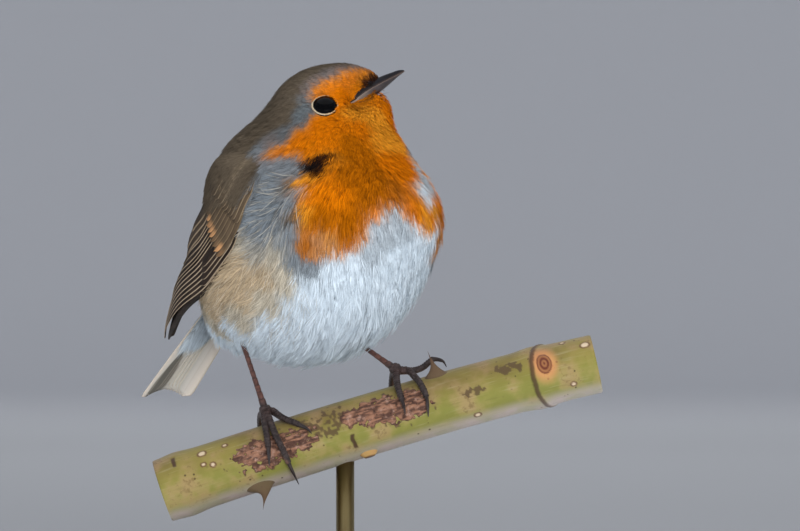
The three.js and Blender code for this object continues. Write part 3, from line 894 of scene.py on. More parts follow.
def lidShape(centre, outward):
    # A thin fold of bare skin that hugs the eyeball where it leaves the plumage.
    across, over = eyeAxes(outward)
    turn, section = turnsOf(72)[:, None], turnsOf(12)[None]
    reach = skin["lidRadius"] + skin["lidThickness"] * np.cos(section) + 0 * turn
    lift = skin["lidLift"] + skin["lidThickness"] * 1.1 * np.sin(section) + 0 * turn
    squeeze = 1 - 0.1 * np.sin(turn) ** 2
    rings = (
        centre
        + (across * np.cos(turn))[:, None] * reach[..., None]
        + (over * np.sin(turn) * squeeze)[:, None] * reach[..., None]
        + outward * lift[..., None]
    )
    count, sides = reach.shape
    one = facingOut(shape(rings, gridFaces(count, count, sides)))
    dark = sharesOf(reach.size, slate=np.ones(reach.size))
    one["marks"] = markColumns(dark) | {"strand": np.full((reach.size, 4), 0.5)}
    return one


skinMesh = skinShape()
lids = [lidShape(centre, way) for centre, way in zip(eyeCentres, eyeWays)]
addPiece("skin", joined([skinMesh] + lids), plumage, ["head", "neck", "trunk"])
print("skin done")

# ---- coat: tufts of fine barbs over the whole skin
dice = np.random.default_rng(7)


def rootsOnSkin(count):
    # Roots spread evenly for their spacing: one number of a pair picks the row, the other the place along
    # it, both by the area over the spacing squared that they pass.
    columns, rows = skin["columns"], skin["rows"]
    grid = skinMesh["points"][:rows * columns].reshape(rows, columns, 3)
    nextColumn = np.roll(grid, -1, 1)
    area = np.linalg.norm(np.cross(nextColumn[:-1] - grid[:-1], grid[1:] - grid[:-1]), axis=-1)
    sizes = coatAt(grid.reshape(-1, 3)).reshape(rows, columns, -1)[:-1]
    weight = area / sizes[..., 3] ** 2
    first, second = spreadPairs(count)
    byRow = np.cumsum(weight.sum(1)) / weight.sum()
    row = np.searchsorted(byRow, first)
    before = np.concatenate([[0], byRow])[row]
    rowPart = (first - before) / (byRow[row] - before)
    byColumn = np.cumsum(weight, 1) / weight.sum(1, keepdims=True)
    column = np.array([np.searchsorted(byColumn[r], s) for r, s in zip(row, second)])
    started = np.concatenate([np.zeros((rows - 1, 1)), byColumn], 1)[row, column]
    columnPart = (second - started) / (byColumn[row, column] - started)
    azimuth = (column + columnPart) / columns * 2 * np.pi
    polar = skin["poleGap"] + (row + rowPart) / (rows - 1) * (np.pi - 2 * skin["poleGap"])
    return azimuth, polar


def waveAt(points, size, seed):
    # A smooth wander between about -1 and 1: six sines of the place, each with its own direction.
    ways = np.random.default_rng(seed).normal(size=(6, 3)) / size
    shift = np.random.default_rng(seed + 1).uniform(0, 6.28, 6)
    return np.sin(points @ ways.T + shift).sum(-1) / 2.4


def marchRachis(roots, lengths, depths, standOff, angle, steps):
    # The midribs: each walks along the lie of the coat while it rises from the skin to its tip's height.
    points, facing = settled(roots, -depths)
    path, ups = [points], [facing]
    for step in range(steps):
        share = (step + 1) / steps
        way = layAt(points, facing)
        way = way * np.cos(angle)[:, None] + np.cross(facing, way) * np.sin(angle)[:, None]
        level = -depths + (depths + standOff) * (1 - (1 - share) ** coat["rise"])
        points, facing = settled(points + way * (lengths / steps)[:, None], level, 1)
        path.append(points)
        ups.append(facing)
    path, ups = np.stack(path, 1), np.stack(ups, 1)
    return path, ups, sidesOf(path, ups)


def onUnwrap(roots):
    # The place of each root on the unwrap of the skin: turn round its upright, and height from its middle.
    away = unit(roots - skinOrigin)
    turn = np.arctan2(away[:, 1], away[:, 0]) / (2 * np.pi) % 1
    return np.stack([turn, 1 - np.arccos(np.clip(away[:, 2], -1, 1)) / np.pi], -1)


def clearOfWings(roots, alongs, acrosses, gap):
    # Which roots are further than the gap from both folded wings.
    grids = np.meshgrid(np.linspace(*alongs, 24), np.linspace(*acrosses, 11))
    along, across = (grid.ravel() for grid in grids)
    clear = np.ones(len(roots), bool)
    for side in (-1, 1):
        cover = wingAt(side, along, across)[0]
        clear &= np.min(np.linalg.norm(roots[:, None] - cover[None], axis=-1), 1) > gap
    return clear


barb = {
    # shares of the midrib: how much sooner the outermost barbs end, and how far each runs along it
    "lag": 0.34,
    "length": 0.62,
    # where its three cross-lines and its tip lie, and how wide it is there
    "run": np.array([0, 0.36, 0.72, 1.0]),
    "taper": np.array([0.85, 1.0, 0.72, 0]),
    # how much a tuft arches across, and how far its brightest barbs rise over the others
    "bow": 0.12,
    "brightLift": 0.12,
    # half-width of a barb's patch on the bake map
    "patch": 0.0014,
    # how far its shading leans towards the bird's own roundness
    "roundness": 0.55,
}


def barbShapes(path, ups, sides, halfWidths, barbs, barbWidths, fluff):
    # Every tuft's barbs: a barb leaves the midrib, runs out sideways and forward, and ends in a point, the
    # middle ones furthest out. Bright ones are wider and lie on top. Three cross-lines and a tip make each.
    # Half-widths, numbers of barbs and barb widths are one for all tufts or an array with one for each.
    tufts, steps = len(path), path.shape[1] - 1
    halfWidths, barbs, barbWidths = (np.zeros(tufts, int) + size for size in (halfWidths, barbs, barbWidths))
    owner = np.repeat(np.arange(tufts), barbs)
    place = np.arange(len(owner)) - np.repeat(np.cumsum(barbs) - barbs, barbs)
    spread = (place + 0.5) / barbs[owner] * 2 - 1 + dice.normal(0, 0.1, len(owner))
    end = 1 - barb["lag"] * np.abs(spread) ** 1.6 + dice.normal(0, 0.05, len(owner))
    start = np.clip(end - barb["length"] + dice.normal(0, 0.06, len(owner)), 0, 1)
    run = barb["run"]
    share = start[:, None] + (end - start)[:, None] * run
    index = np.clip((share * steps).astype(int), 0, steps - 1)
    part = (share * steps - index)[..., None]
    who = owner[:, None]

    def onPath(values):
        return values[who, index] * (1 - part) + values[who, index + 1] * part

    # How bright each barb is: wider, higher and lighter, the lighter ones as painted highlights.
    bright = dice.uniform(0, 1, len(owner))
    across = (halfWidths[owner] * spread)[:, None] * np.sin(run * np.pi / 2) ** 0.9
    drop = barb["bow"] * across**2 / halfWidths[owner][:, None] - barb["brightLift"] * bright[:, None] * run
    facing = unit(onPath(ups))
    centre = onPath(path) + unit(onPath(sides)) * across[..., None] - facing * drop[..., None]
    wide = unit(np.cross(facing, unit(np.gradient(centre, axis=1))))
    thin = barbWidths[owner] * (0.75 + 0.9 * bright**2)
    half = (thin[:, None] * barb["taper"])[..., None]
    pairs = np.stack([centre + wide * half, centre - wide * half], 2).reshape(len(owner), 8, 3)
    step = np.array([0, 0, 1, 1, 2, 2, 3])
    shares = share[:, step]
    chance = dice.uniform(0, 1, tufts)[owner][:, None]
    patch = np.stack([spread[:, None] * np.ones(7), shares * 2 - 1], -1) * barb["patch"]
    return {
        "owner": owner,
        "points": pairs[:, :7],
        "facing": facing[:, step],
        "strand": np.stack(np.broadcast_arrays(shares, chance, bright[:, None], fluff), -1),
        "corners": onUnwrap(path[:, 0])[owner][:, None] + patch,
        "middles": (centre[:, 1] + centre[:, 2]) / 2,
    }


def writeBarbs(name, barbs, slot, marks, chosen=slice(None)):
    # One piece from the chosen barbs, its shading leaning towards the bird's own roundness.
    ribbon = barbs["points"][chosen]
    count = len(ribbon)
    base = np.arange(count)[:, None, None] * 7
    quads = (np.array([[0, 1, 3, 2], [2, 3, 5, 4]]) + base).reshape(-1, 4)
    tris = (np.array([[4, 5, 6]]) + base).reshape(-1, 3)
    spread = {key: np.repeat(values[chosen], 7, 0) for key, values in marks.items()}
    spread["strand"] = barbs["strand"][chosen].reshape(-1, 4)
    facing = barbs["facing"][chosen]
    flat = unit(np.cross(ribbon[:, 1] - ribbon[:, 0], ribbon[:, 6] - ribbon[:, 0]))
    flat = flat * np.sign(np.sum(flat * facing[:, 3], -1, keepdims=True))
    blend = unit(facing * barb["roundness"] + flat[:, None] * (1 - barb["roundness"]))
    one = shape(ribbon.reshape(-1, 3), quads, tris, spread)
    corners = barbs["corners"][chosen].reshape(-1, 2)
    addPiece(name, one, plumage, corners=corners, facing=blend.reshape(-1, 3))
    return count


def growCoat():
    # The whole coat's barbs, their colour shares, and where each tuft's root lies as seen from the trunk.
    roots = skinPoints(*rootsOnSkin(coat["tufts"]))
    keep = clearOfWings(roots, (0.17, 0.85), (-0.75, 0.7), coat["underWing"])
    for centre, way in zip(eyeCentres, eyeWays):
        away = roots - centre
        flat = away - np.outer(away @ way, way)
        keep &= ~((np.linalg.norm(flat, axis=-1) < coat["eyeClearance"]) & (away @ way > 0))
    roots = roots[keep]
    sizes = coatAt(roots)
    count = len(roots)
    lengths = sizes[:, 0] * dice.uniform(0.8, 1.2, count)
    clump = waveAt(roots, coat["clumpSize"], 3)
    angle = np.radians(dice.normal(0, coat["angleScatter"], count) + coat["clumpAngle"] * clump)
    underside = smooth(-slopeAt(roots)[1][:, 2], 0.2, 0.8)
    standOff = sizes[:, 6] + dice.normal(0, 1, count) * (0.07 + 0.2 * underside) * sizes[:, 2]
    for away in fromWingEdges(roots):
        standOff += coat["overWing"] * smooth(away, 10, 4) * smooth(seenFrom("body", roots)[:, 2], -14, -4)
    path, ups, sides = marchRachis(roots, lengths, sizes[:, 2], standOff, angle, coat["steps"])
    barbs = barbShapes(
        path, ups, sides, sizes[:, 1] * dice.uniform(0.8, 1.2, count),
        np.round(sizes[:, 4] * dice.uniform(0.85, 1.15, count)).astype(int), sizes[:, 5], 1.0,
    )
    tuftScatter = dice.normal(0, 0.8, (count, 3))[barbs["owner"]]
    scatter = tuftScatter + dice.normal(0, 0.45, (len(barbs["owner"]), 3))
    return barbs, markColumns(marksAt(barbs["middles"], scatter)), seenFrom("body", roots)


wisps = {
    "tries": 12000,
    "standOff": (0.2, 1.0),
    "lengths": (9, 14),
    "angleScatter": 19,
    "spread": 0.3,
    "halfWidth": 0.042,
}


def growWisps():
    # Long single pale hairs that stand off the flank, cross each other and lie over the front of the wing.
    roots = skinPoints(*rootsOnSkin(wisps["tries"]))
    body = seenFrom("body", roots)
    inside = (np.abs(body[:, 1]) > 15) & (np.abs(body[:, 0] - 5) < 16) & (np.abs(body[:, 2]) < 19)
    inside &= clearOfWings(roots, (0, 0.9), (-0.85, 1), coat["underWing"] + 0.6)
    roots = roots[inside]
    count = len(roots)
    standOff = dice.uniform(*wisps["standOff"], count)
    for away in fromWingEdges(roots):
        standOff += coat["overWing"] * smooth(away, 10, 4)
    angle = np.radians(dice.normal(0, wisps["angleScatter"], count))
    lengths = dice.uniform(*wisps["lengths"], count)
    path, ups, sides = marchRachis(roots, lengths, np.full(count, 1.0), standOff, angle, 8)
    barbs = barbShapes(path, ups, sides, wisps["spread"], 1, wisps["halfWidth"], 0.0)
    shares = marksAt(barbs["middles"], dice.normal(0, 0.6, (count, 3)))
    shares = {colour: share * 0.4 for colour, share in shares.items()}
    shares["cream"] += 0.4
    shares["buff"] += 0.15
    writeBarbs("flank_wisps", barbs, "plumage_white", markColumns(shares))


coatBarbs, coatMarks, coatRoots = growCoat()
growWisps()
print("coat:", len(coatBarbs["owner"]), "barbs")


def writeCoat():
    # The coat in pieces: head and neck by height and side, the trunk by height in six wedges round it.
    up = coatRoots[:, 2]
    turn = np.degrees(np.arctan2(coatRoots[:, 1], coatRoots[:, 0])) % 360
    wedge = (turn // 60).astype(int)
    left = (turn < 180).astype(int)
    region = np.where(up > 34, 100 + left, np.where(up > 24, 102 + left, wedge * 2 + (up > -2)))
    names = {100: "coat_head_right", 101: "coat_head_left", 102: "coat_neck_right", 103: "coat_neck_left"}
    for number in range(6):
        names[number * 2] = f"coat_lower_{number + 1}"
        names[number * 2 + 1] = f"coat_upper_{number + 1}"
    for number, name in names.items():
        slotName = "plumage_orange" if number > 99 else "plumage_white"
        count = writeBarbs(name, coatBarbs, slotName, coatMarks, (region == number)[coatBarbs["owner"]])
        print(name, count * 5, "triangles")


writeCoat()

# ---- eyes
def buildEyes():
    # Near-black glossy balls, mottled very slightly brown by a fine noise.
    paint = Paint("eye", Roughness=0.03, IOR=1.24)
    material = paint.wear(Base_Color=paint.ramp(paint.noise(900, 2), (0.3, "010204"), (0.9, "060404")))
    polar = np.linspace(0.02, np.pi - 0.02, 40)[:, None]
    for name, centre in zip(("eye_right", "eye_left"), eyeCentres):
        one = loft(centre + waysAt(turnsOf(64)[None], polar) * eye["radius"])
        addPiece(name + "_ball", one, material, [name])


eyeRing = {
    "count": 150,
    "from": 3.1,
    "lifts": [2.16, 2.3, 2.26, 2.14, 1.98],
    "halfWidth": 0.16,
    "barbWidth": 0.035,
}


def ringTufts():
    # The ring of short pale feathers round each lid, pointing away from the eye.
    count = eyeRing["count"]
    for name, centre, outward in zip(("right", "left"), eyeCentres, eyeWays):
        across, over = eyeAxes(outward)
        turn = turnsOf(count) + dice.normal(0, 0.02, count)
        spoke = across * np.cos(turn)[:, None] + over * (np.sin(turn) * 0.93)[:, None]
        wide = 0.3 + 0.3 * smooth(-np.cos(turn) - 0.6 * np.sin(turn), -0.2, 1.0)
        wide = wide + dice.normal(0, 0.05, count)
        reach = eyeRing["from"] + wide[:, None] * np.linspace(0, 1, 5)
        path = centre + spoke[:, None] * reach[..., None] + outward * np.array(eyeRing["lifts"])[:, None]
        ups = np.broadcast_to(outward, path.shape)
        sides = np.broadcast_to(np.cross(outward, spoke)[:, None], path.shape)
        barbs = barbShapes(path, ups, sides, eyeRing["halfWidth"], 5, eyeRing["barbWidth"], 0.0)
        owner = barbs["owner"]
        warm = smooth(np.cos(turn), -0.7, 1.0)[owner] * dice.uniform(0.2, 0.7, len(owner))
        shares = sharesOf(len(owner), amber=warm, buff=(1 - warm) * 0.65, cream=(1 - warm) * 0.35)
        writeBarbs("eye_ring_" + name, barbs, "plumage_orange", markColumns(shares))


buildEyes()
ringTufts()
print("eyes done")

# ---- bill
bill = {
    # forward of the head's centre, height of the ridge, of the cutting edge and of the keel, half-width
    "stations": [
        (8.0, 0.4, -2.45, -3.5, 5.7),
        (10.0, 0.75, -1.95, -3.4, 4.2),
        (12.0, 0.92, -1.35, -3.1, 3.05),
        (14.0, 1.02, -1.0, -2.8, 2.3),
        (16.5, 0.95, -0.74, -2.3, 1.5),
        (18.5, 0.84, -0.62, -1.75, 1.05),
        (20.4, 0.66, -0.53, -1.18, 0.72),
        (22.0, 0.5, -0.45, -0.76, 0.46),
        (23.1, 0.12, -0.4, -0.52, 0.22),
        (23.5, -0.18, -0.38, -0.42, 0.07),
    ],
    "count": 90,
    "sides": 40,
    # forward, height, length and height of a nostril
    "nostril": (13.9, 0.0, 0.8, 0.32),
    # the pale fold of skin, and a painted shadow in the gap over it, from the bill back to the corner of
    # the mouth
    "flange": [(11.2, 3.35, -1.95), (9.8, 4.35, -2.35), (8.6, 5.7, -2.75), (7.9, 6.9, -3.0)],
    "flangeRadii": [0.12, 0.24, 0.26, 0.12],
    # bristles on each side
    "bristles": 26,
}


def billPaint():
    # Near-black horn streaked lengthwise, browner below and paler at its root, a pale line along the cutting
    # edges, and near-black painted shade in the nostrils and in the gap over the mouth's fold.
    paint = Paint("billHorn", Roughness=0.4, Specular_IOR_Level=0.3, Coat_Weight=0.05, Coat_Roughness=0.25)
    edgeShare, base, nostril, lowerShare = paint.channels("horn")
    grain = paint.noise(600, 3, stretch=(0.35, 1, 1))
    dark = paint.between(grain, 0.3, 0.75, "0c0b0e", "1b1a1f")
    under = paint.between(grain, 0.3, 0.75, "2b2729", "413b3b")
    colour = paint.layered(
        paint.mix(lowerShare, dark, under),
        (base * lowerShare * 0.6, "85796f"),
        (edgeShare * (0.12 + lowerShare * 0.35), "9c8678"),
        (nostril, "060505"),
    )
    return paint.wear(Base_Color=colour, Normal=paint.bump(grain, 0.25, 0.05))


def buildBill():
    # Upper: a ridged dome over the cutting edge. Lower: the same turned over, under it.
    stations = curveThrough(bill["stations"], bill["count"])
    forward, ridge, edge, keel, half = stations.T
    angle = turnsOf(bill["sides"])[None]
    cosine, sine = np.cos(angle), np.sin(angle)
    width = np.maximum(half, 0.03)[:, None] * np.sign(cosine) * np.abs(cosine) ** 0.8
    rise = np.maximum(ridge - edge, 0.05)[:, None]
    fall = np.maximum(edge - keel, 0.05)[:, None]
    upper = edge[:, None] + np.where(sine > 0, rise * np.abs(sine) ** 1.15, -0.1 * np.abs(sine))
    lower = edge[:, None] - 0.12 - np.where(sine > 0, fall * np.abs(sine) ** 0.9, -0.05 * np.abs(sine))
    noseAt, noseUp, noseLength, noseHeight = bill["nostril"]
    noseAway = ((forward[:, None] - noseAt) / noseLength) ** 2 + ((upper - noseUp) / noseHeight) ** 2
    onSide = np.exp(-noseAway)
    width = width - np.sign(cosine) * onSide * 0.28
    material = billPaint()
    for name, height, isLower in (("bill_upper", upper, 0), ("bill_lower", lower, 1)):
        away = np.abs(height - edge[:, None])
        near = np.exp(-((away / 0.2) ** 2)) * (np.abs(cosine) > 0.5)
        root = 1 - smooth(forward, 10, 15)[:, None] + 0 * height
        # The third mark darkens the nostril as painted shade.
        marks = np.stack([near, root, onSide * (1 - isLower), isLower + 0 * height], -1)
        axes = np.stack([forward[:, None] + 0 * height, width, height], -1)
        pieces = [loft(onFrame("head", axes), {"horn": marks})] + (flangeShapes() if isLower else [])
        addPiece(name + "_horn", joined(pieces), material, [name])


def flangeShapes():
    # On both sides, a pale fold from the bill back to the corner of the mouth, and over it a near-black tube
    # that is a painted shadow in the gap.
    shapes = []
    up = frames["head"][1][2]
    radii = stopsAt(bill["flangeRadii"], np.linspace(0, 1, 40))
    pale = np.zeros((40, 14, 4)) + (1.0, 1.0, 0.0, 1.0)
    # The gap's tube, near black as painted shadow.
    gap = np.zeros((40, 14, 4)) + (0.0, 0.0, 1.0, 0.0)
    for side in (-1, 1):
        line = onFrame("head", curveThrough(np.array(bill["flange"]) * (1, side, 1), 40))
        line, facing = settled(line, 0.0, 3)
        shapes.append(tube(line + facing * 0.12 - up * 0.14, radii, 14, up, {"horn": pale}))
        shapes.append(tube(line + facing * 0.02 + up * 0.2, radii * 0.85, 14, up, {"horn": gap}))
    return shapes


def buildBristles():
    # Fine dark hairs round the bill's root: short ones that hug it over the nostril, and long ones from the
    # mouth's corner and the chin that stand out and curve forward.
    hair = Paint("bristleHair", Roughness=0.5, Base_Color=(*tone("17120f"), 1))
    shapes = []
    count = bill["bristles"]
    for side in (-1, 1):
        for number in range(count):
            share = (number + 0.5) / count
            if number % 3:
                start = np.array([12.2 + 1.6 * share, side * (2.6 - 0.9 * share), 0.9])
                start[2] -= 1.5 * dice.uniform()
                reach = np.array([2.0, side * -0.55, -0.35]) * dice.uniform(0.7, 1.1)
            else:
                start = np.array([8.6 + 6.0 * share, side * (5.6 - 3.9 * share), -3.0])
                start[2] -= 0.5 * dice.uniform()
                reach = np.array([2.6, side * 0.3, -0.9]) * dice.uniform(0.6, 1.1)
            sway = dice.normal(0, 0.12, 3)
            bent = start + reach * 0.5 + sway * 0.4
            stops = onFrame("head", np.array([start, bent, start + reach + sway]))
            root, facing = settled(stops[:1], -0.1, 3)
            stops = stops + (root[0] - stops[0]) + facing * np.array([[0.0], [0.4], [0.7]])
            line = curveThrough(stops, 9)
            shapes.append(tube(line, np.linspace(0.04, 0.01, 9), 5, facing[0]))
    addPiece("bill_bristles", joined(shapes), hair.material)


buildBill()
buildBristles()
print("bill done")


# ---- feathers of wings and tail
def vane(side, start, end, halfWidth, lifts, kind):
    # One feather in the wing's own along and across: a thin blade with a rounded end, its middle ridged and
    # one edge tucked under its neighbour.
    count, sides = 22, 7
    t = np.linspace(0, 1, count)[:, None]
    q = np.linspace(-1, 1, sides)[None]
    rounded = np.sqrt(np.clip(1 - ((t - 0.86) / 0.14) ** 2, 0, 1) * (t > 0.86) + (t <= 0.86))
    width = np.maximum(halfWidth * (0.55 + 0.45 * smooth(t, 0, 0.3)) * rounded, halfWidth * 0.04)
    a = start[0] + (end[0] - start[0]) * t + 0 * q - 0.004 * np.abs(q)
    b = start[1] + (end[1] - start[1]) * t**1.3 + q * width
    lift = lifts[0] + (lifts[1] - lifts[0]) * t + 0.1 * (1 - np.abs(q)) - 0.1 * q
    top, under = (
        wingAt(side, a.ravel(), b.ravel(), (lift - by).ravel())[0].reshape(count, sides, 3)
        for by in (0, wing["vaneThickness"])
    )
    spread = roundBack(q, q) + 0 * t
    marks = np.stack(np.broadcast_arrays(spread * 0.5 + 0.5, t, dice.uniform(), kind), -1)
    return loft(roundBack(top, under), {"vane": marks})


def vaneLines(paint, across, along, bands, lean):
    # How far a place lies from the shaft, and waves that run slanting out from it as barbs do.
    off = paint.curve("ABSOLUTE", across - 0.5) * 2
    return off, paint.curve("SINE", (along * bands - off * lean) * 190)


def vaneSurface(paint, colour, bright, height, strength):
    return paint.wear(Base_Color=paint.scaled(colour, bright), Normal=paint.bump(height, strength, 0.06))


def featherPaint():
    # Flight feathers and coverts: brown, more olive the higher the kind, darker along the hidden half, with
    # a pale outer edge, a dark shaft, fine slanting barbs and, on the coverts of kind 1, a buff tip.
    paint = Paint("flightFeather", Roughness=0.75, Specular_IOR_Level=0.15)
    across, along, chance, kind = paint.channels("vane")
    off, slant = vaneLines(paint, across, along, 3.2, 0.5)
    grain = paint.noise(260, 3, stretch=(1, 1, 0.5))
    base = paint.between(grain, 0.3, 0.7, "211a16", "382d26")
    olive = paint.between(grain, 0.3, 0.7, "4d4133", "625341")
    colour = paint.mix(paint.step(kind, 0.3, 1, 0, 0.85), base, olive)
    colour = paint.layered(colour, (paint.step(across, 0.35, 0.75, 0, 0.45), "2a2420"))
    outer = paint.step(across, 0.11, 0.05)
    colour = paint.mix(outer * 0.9, colour, paint.mix(kind, tone("b3a088"), tone("6d5e49")))
    shaft = paint.step(off, 0.1, 0.02)
    tip = paint.step(along, 0.74, 0.88) * paint.step(kind, 0.9, 0.97) * paint.step(across, 0.62, 0.3)
    colour = paint.layered(colour, (shaft * 0.6, "1f1a17"), (tip * paint.step(chance, 0.2, 0.8), "b98a5e"))
    bright = 0.88 + chance * 0.22 + slant * 0.05
    return vaneSurface(paint, colour, bright, slant * 0.3 + shaft, 0.35)


flightFeather = featherPaint()


def wingSlab(side):
    # The wing's body under its feathers: the outside sunk a little, and the inside sunk into the flank.
    t = np.linspace(0, 1, 60)[:, None]
    q = np.linspace(-1, 1, 24)[None]
    a, b = t + 0 * q, q * 0.97 + 0 * t
    top, out = wingAt(side, a.ravel(), b.ravel(), np.full(a.size, -0.95))
    depth = stopsAt(wing["thickness"], a.ravel()) * 0.8
    under = top - out * depth[:, None]
    rings = roundBack(top.reshape(60, 24, 3), under.reshape(60, 24, 3))
    return loft(rings, {"vane": np.zeros((60, 48, 4)) + (0.6, 0.3, 0.3, 0.0)})


def wingTuftPaths(side):
    # Small body feathers over the wing's root, rising towards their tips, and lower near the wing's front
    # edge and the shoulder. Gives where they start along and across too.
    count = wing["tufts"]
    first, second = spreadPairs(count)
    a0 = 0.275 * first**0.9
    b0 = -0.96 + 2.1 * second
    back = smooth(b0, -0.2, 0.5)
    reach = (0.05 + 0.05 * back) * dice.uniform(0.85, 1.15, count)
    a0 = a0 * (0.75 + 0.35 * back)
    share = np.linspace(0, 1, 5)
    a = a0[:, None] + reach[:, None] * share
    b = b0[:, None] + dice.normal(0, 0.02, count)[:, None] * share
    lift = 0.6 + 1.1 * share**0.7 + 0.2 * back[:, None] + dice.normal(0, 0.06, count)[:, None]
    lift = lift * smooth(np.abs(b), 1.35, 0.9) * (0.35 + 0.65 * smooth(b, -1.0, -0.4))
    lift = lift * smooth(a, 0, 0.14) + 0.1
    points, out = wingAt(side, a.ravel(), b.ravel(), lift.ravel())
    points, out = points.reshape(count, 5, 3), out.reshape(count, 5, 3)
    return points, out, sidesOf(points, out), a0, b0


# what each family of feathers is painted as: see featherPaint
featherKinds = {
    "primary": 0,
    "secondary": 0.35,
    "tertial": 0.6,
    "primaryCovert": 0.3,
    "greaterCovert": 1.0,
    "medianCovert": 0.85,
}


def buildWing(name, side):
    # The slab and its long feathers as one piece, and the small body feathers over its root as another.
    blades = [wingSlab(side)]
    for family, rows in wing["feathers"].items():
        for a0, b0, a1, b1, halfWidth, low, high in rows:
            blades.append(vane(side, (a0, b0), (a1, b1), halfWidth, (low, high), featherKinds[family]))
    addPiece(name + "_feathers", joined(blades), flightFeather, [name])
    path, ups, sides, a0, b0 = wingTuftPaths(side)
    barbs = barbShapes(path, ups, sides, 1.0, 13, 0.085, 0.6)
    owner = barbs["owner"]
    pale = np.exp(-(((b0 - 0.05 + 1.2 * (a0 - 0.1)) / 0.1) ** 2))[owner] * dice.uniform(0, 0.22, len(owner))
    ashy = smooth(b0, -0.55, -0.9)[owner] * dice.uniform(0.5, 1, len(owner))
    buff = pale * (1 - ashy)
    shares = sharesOf(len(owner), buff=buff, grey=ashy, olive=1 - buff - ashy)
    writeBarbs(name + "_coverts", barbs, "plumage_brown", markColumns(shares))


buildWing("wing_right", -1)
buildWing("wing_left", 1)
print("wings done")

# ---- tail
tail = {
    # forward and up of the trunk's middle, and how far the tip leans to the right
    "root": (-24, 0.5),
    "tip": (-68.5, -39.5),
    "lean": -1.2,
    "halfWidths": [4.5, 6.1, 7.2, 7.8],
    "notch": 2.5,
    # radius of its arch across
    "crown": 30,
    "feathers": 12,
    "coverts": 420,
}


def tailAt(a, b, lift):
    # A point on the tail for arrays of along, across and height, its edges drooping as a round crown.
    root = onFrame("body", (tail["root"][0], 0, tail["root"][1]))
    tip = onFrame("body", (tail["tip"][0], tail["lean"], tail["tip"][1]))
    along = tip - root
    left = frames["body"][1][1]
    down = unit(-np.cross(along, left))
    down = down if down[2] < 0 else -down
    half = stopsAt(tail["halfWidths"], np.clip(a, 0, 1)) * b
    reach = a * (1 - tail["notch"] * (1 - b * b) / np.linalg.norm(along))
    sag = half**2 / (2 * tail["crown"])
    return root + along * reach[..., None] + left * half[..., None] + down * (sag - lift)[..., None]


def tailVane(place, level):
    # One tail feather, its place from -1 at the right edge to 1 at the left and its level in the stack:
    # wider towards a rounded tip, and marked for a patch right of the middle whose underside is painted dark
    # as shadow.
    outwards = np.sign(place)
    t = np.linspace(0, 1, 30)[:, None]
    q = np.linspace(-1, 1, 9)[None] * outwards
    width = 0.36 * (0.5 + 0.5 * smooth(t, 0, 0.5))
    width = width * np.sqrt(np.clip(1 - (np.maximum(t - 0.93, 0) / 0.07) ** 2, 0.003, 1))
    a = 0.02 + 0.98 * t + 0 * q
    b = place * (0.62 + 0.2 * t) + q * width
    lift = -0.55 + level * 0.11 + 0.1 * (1 - np.abs(q)) - 0.06 * q * outwards + 0 * t
    top, under = tailAt(a, b, lift), tailAt(a, b, lift - 0.12)
    spread = roundBack(q, q) * outwards + 0 * t
    isUnder = roundBack(np.zeros((30, 9)), np.ones((30, 9)))
    # A painted shadow beneath, on a patch right of the middle towards the tip.
    half = 0.38 * smooth(t, 0.58, 0.92)
    shaded = smooth(np.abs(roundBack(b, b) + 0.47), half + 0.07, half - 0.07) * smooth(t, 0.58, 0.66)
    chance = dice.uniform(0, 0.5) * (1 - shaded) + shaded
    marks = np.stack([0.5 - spread * 0.5, t + 0 * spread, chance, isUnder], -1)
    return loft(roundBack(top, under), {"vane": marks})


def tailPaint():
    # Olive brown above and pale below, greyer across it and with painted shadow in the patch, with a pale
    # rim, a pale shaft and fine slanting barbs.
    paint = Paint("tailFeather", Roughness=0.7, Specular_IOR_Level=0.25)
    across, along, chance, underside = paint.channels("vane")
    off, slant = vaneLines(paint, across, along, 5, 0.4)
    above = paint.between(paint.noise(220, 3), 0.3, 0.7, "4a4033", "665a48")
    below = paint.layered(
        paint.between(across, 0.1, 0.6, "e2d8c9", "d2ccc2"),
        (paint.step(across, 0.6, 1), "bbb8ad"),
        (paint.step(chance, 0.5, 1), "5f5c53"),
    )
    shaft = paint.step(off, 0.08, 0.02)
    colour = paint.layered(
        paint.mix(underside, above, below),
        (paint.step(off, 0.82, 0.97) * 0.5, "dccdb9"),
        (shaft * 0.5, "c9bfae"),
    )
    bright = 0.95 + chance * 0.1 + slant * 0.04
    return vaneSurface(paint, colour, bright, slant * 0.3 + shaft, 0.3)


def buildTail():
    # The vanes from the outer pair up to the middle pair, which lies on top.
    middle = (tail["feathers"] - 1) / 2
    order = sorted(range(tail["feathers"]), key=lambda index: -abs(index - middle))
    blades = [
        tailVane((index + 0.5) / tail["feathers"] * 2 - 1, rank // 2) for rank, index in enumerate(order)
    ]
    addPiece("tail_feathers", joined(blades), tailPaint(), ["tail"])


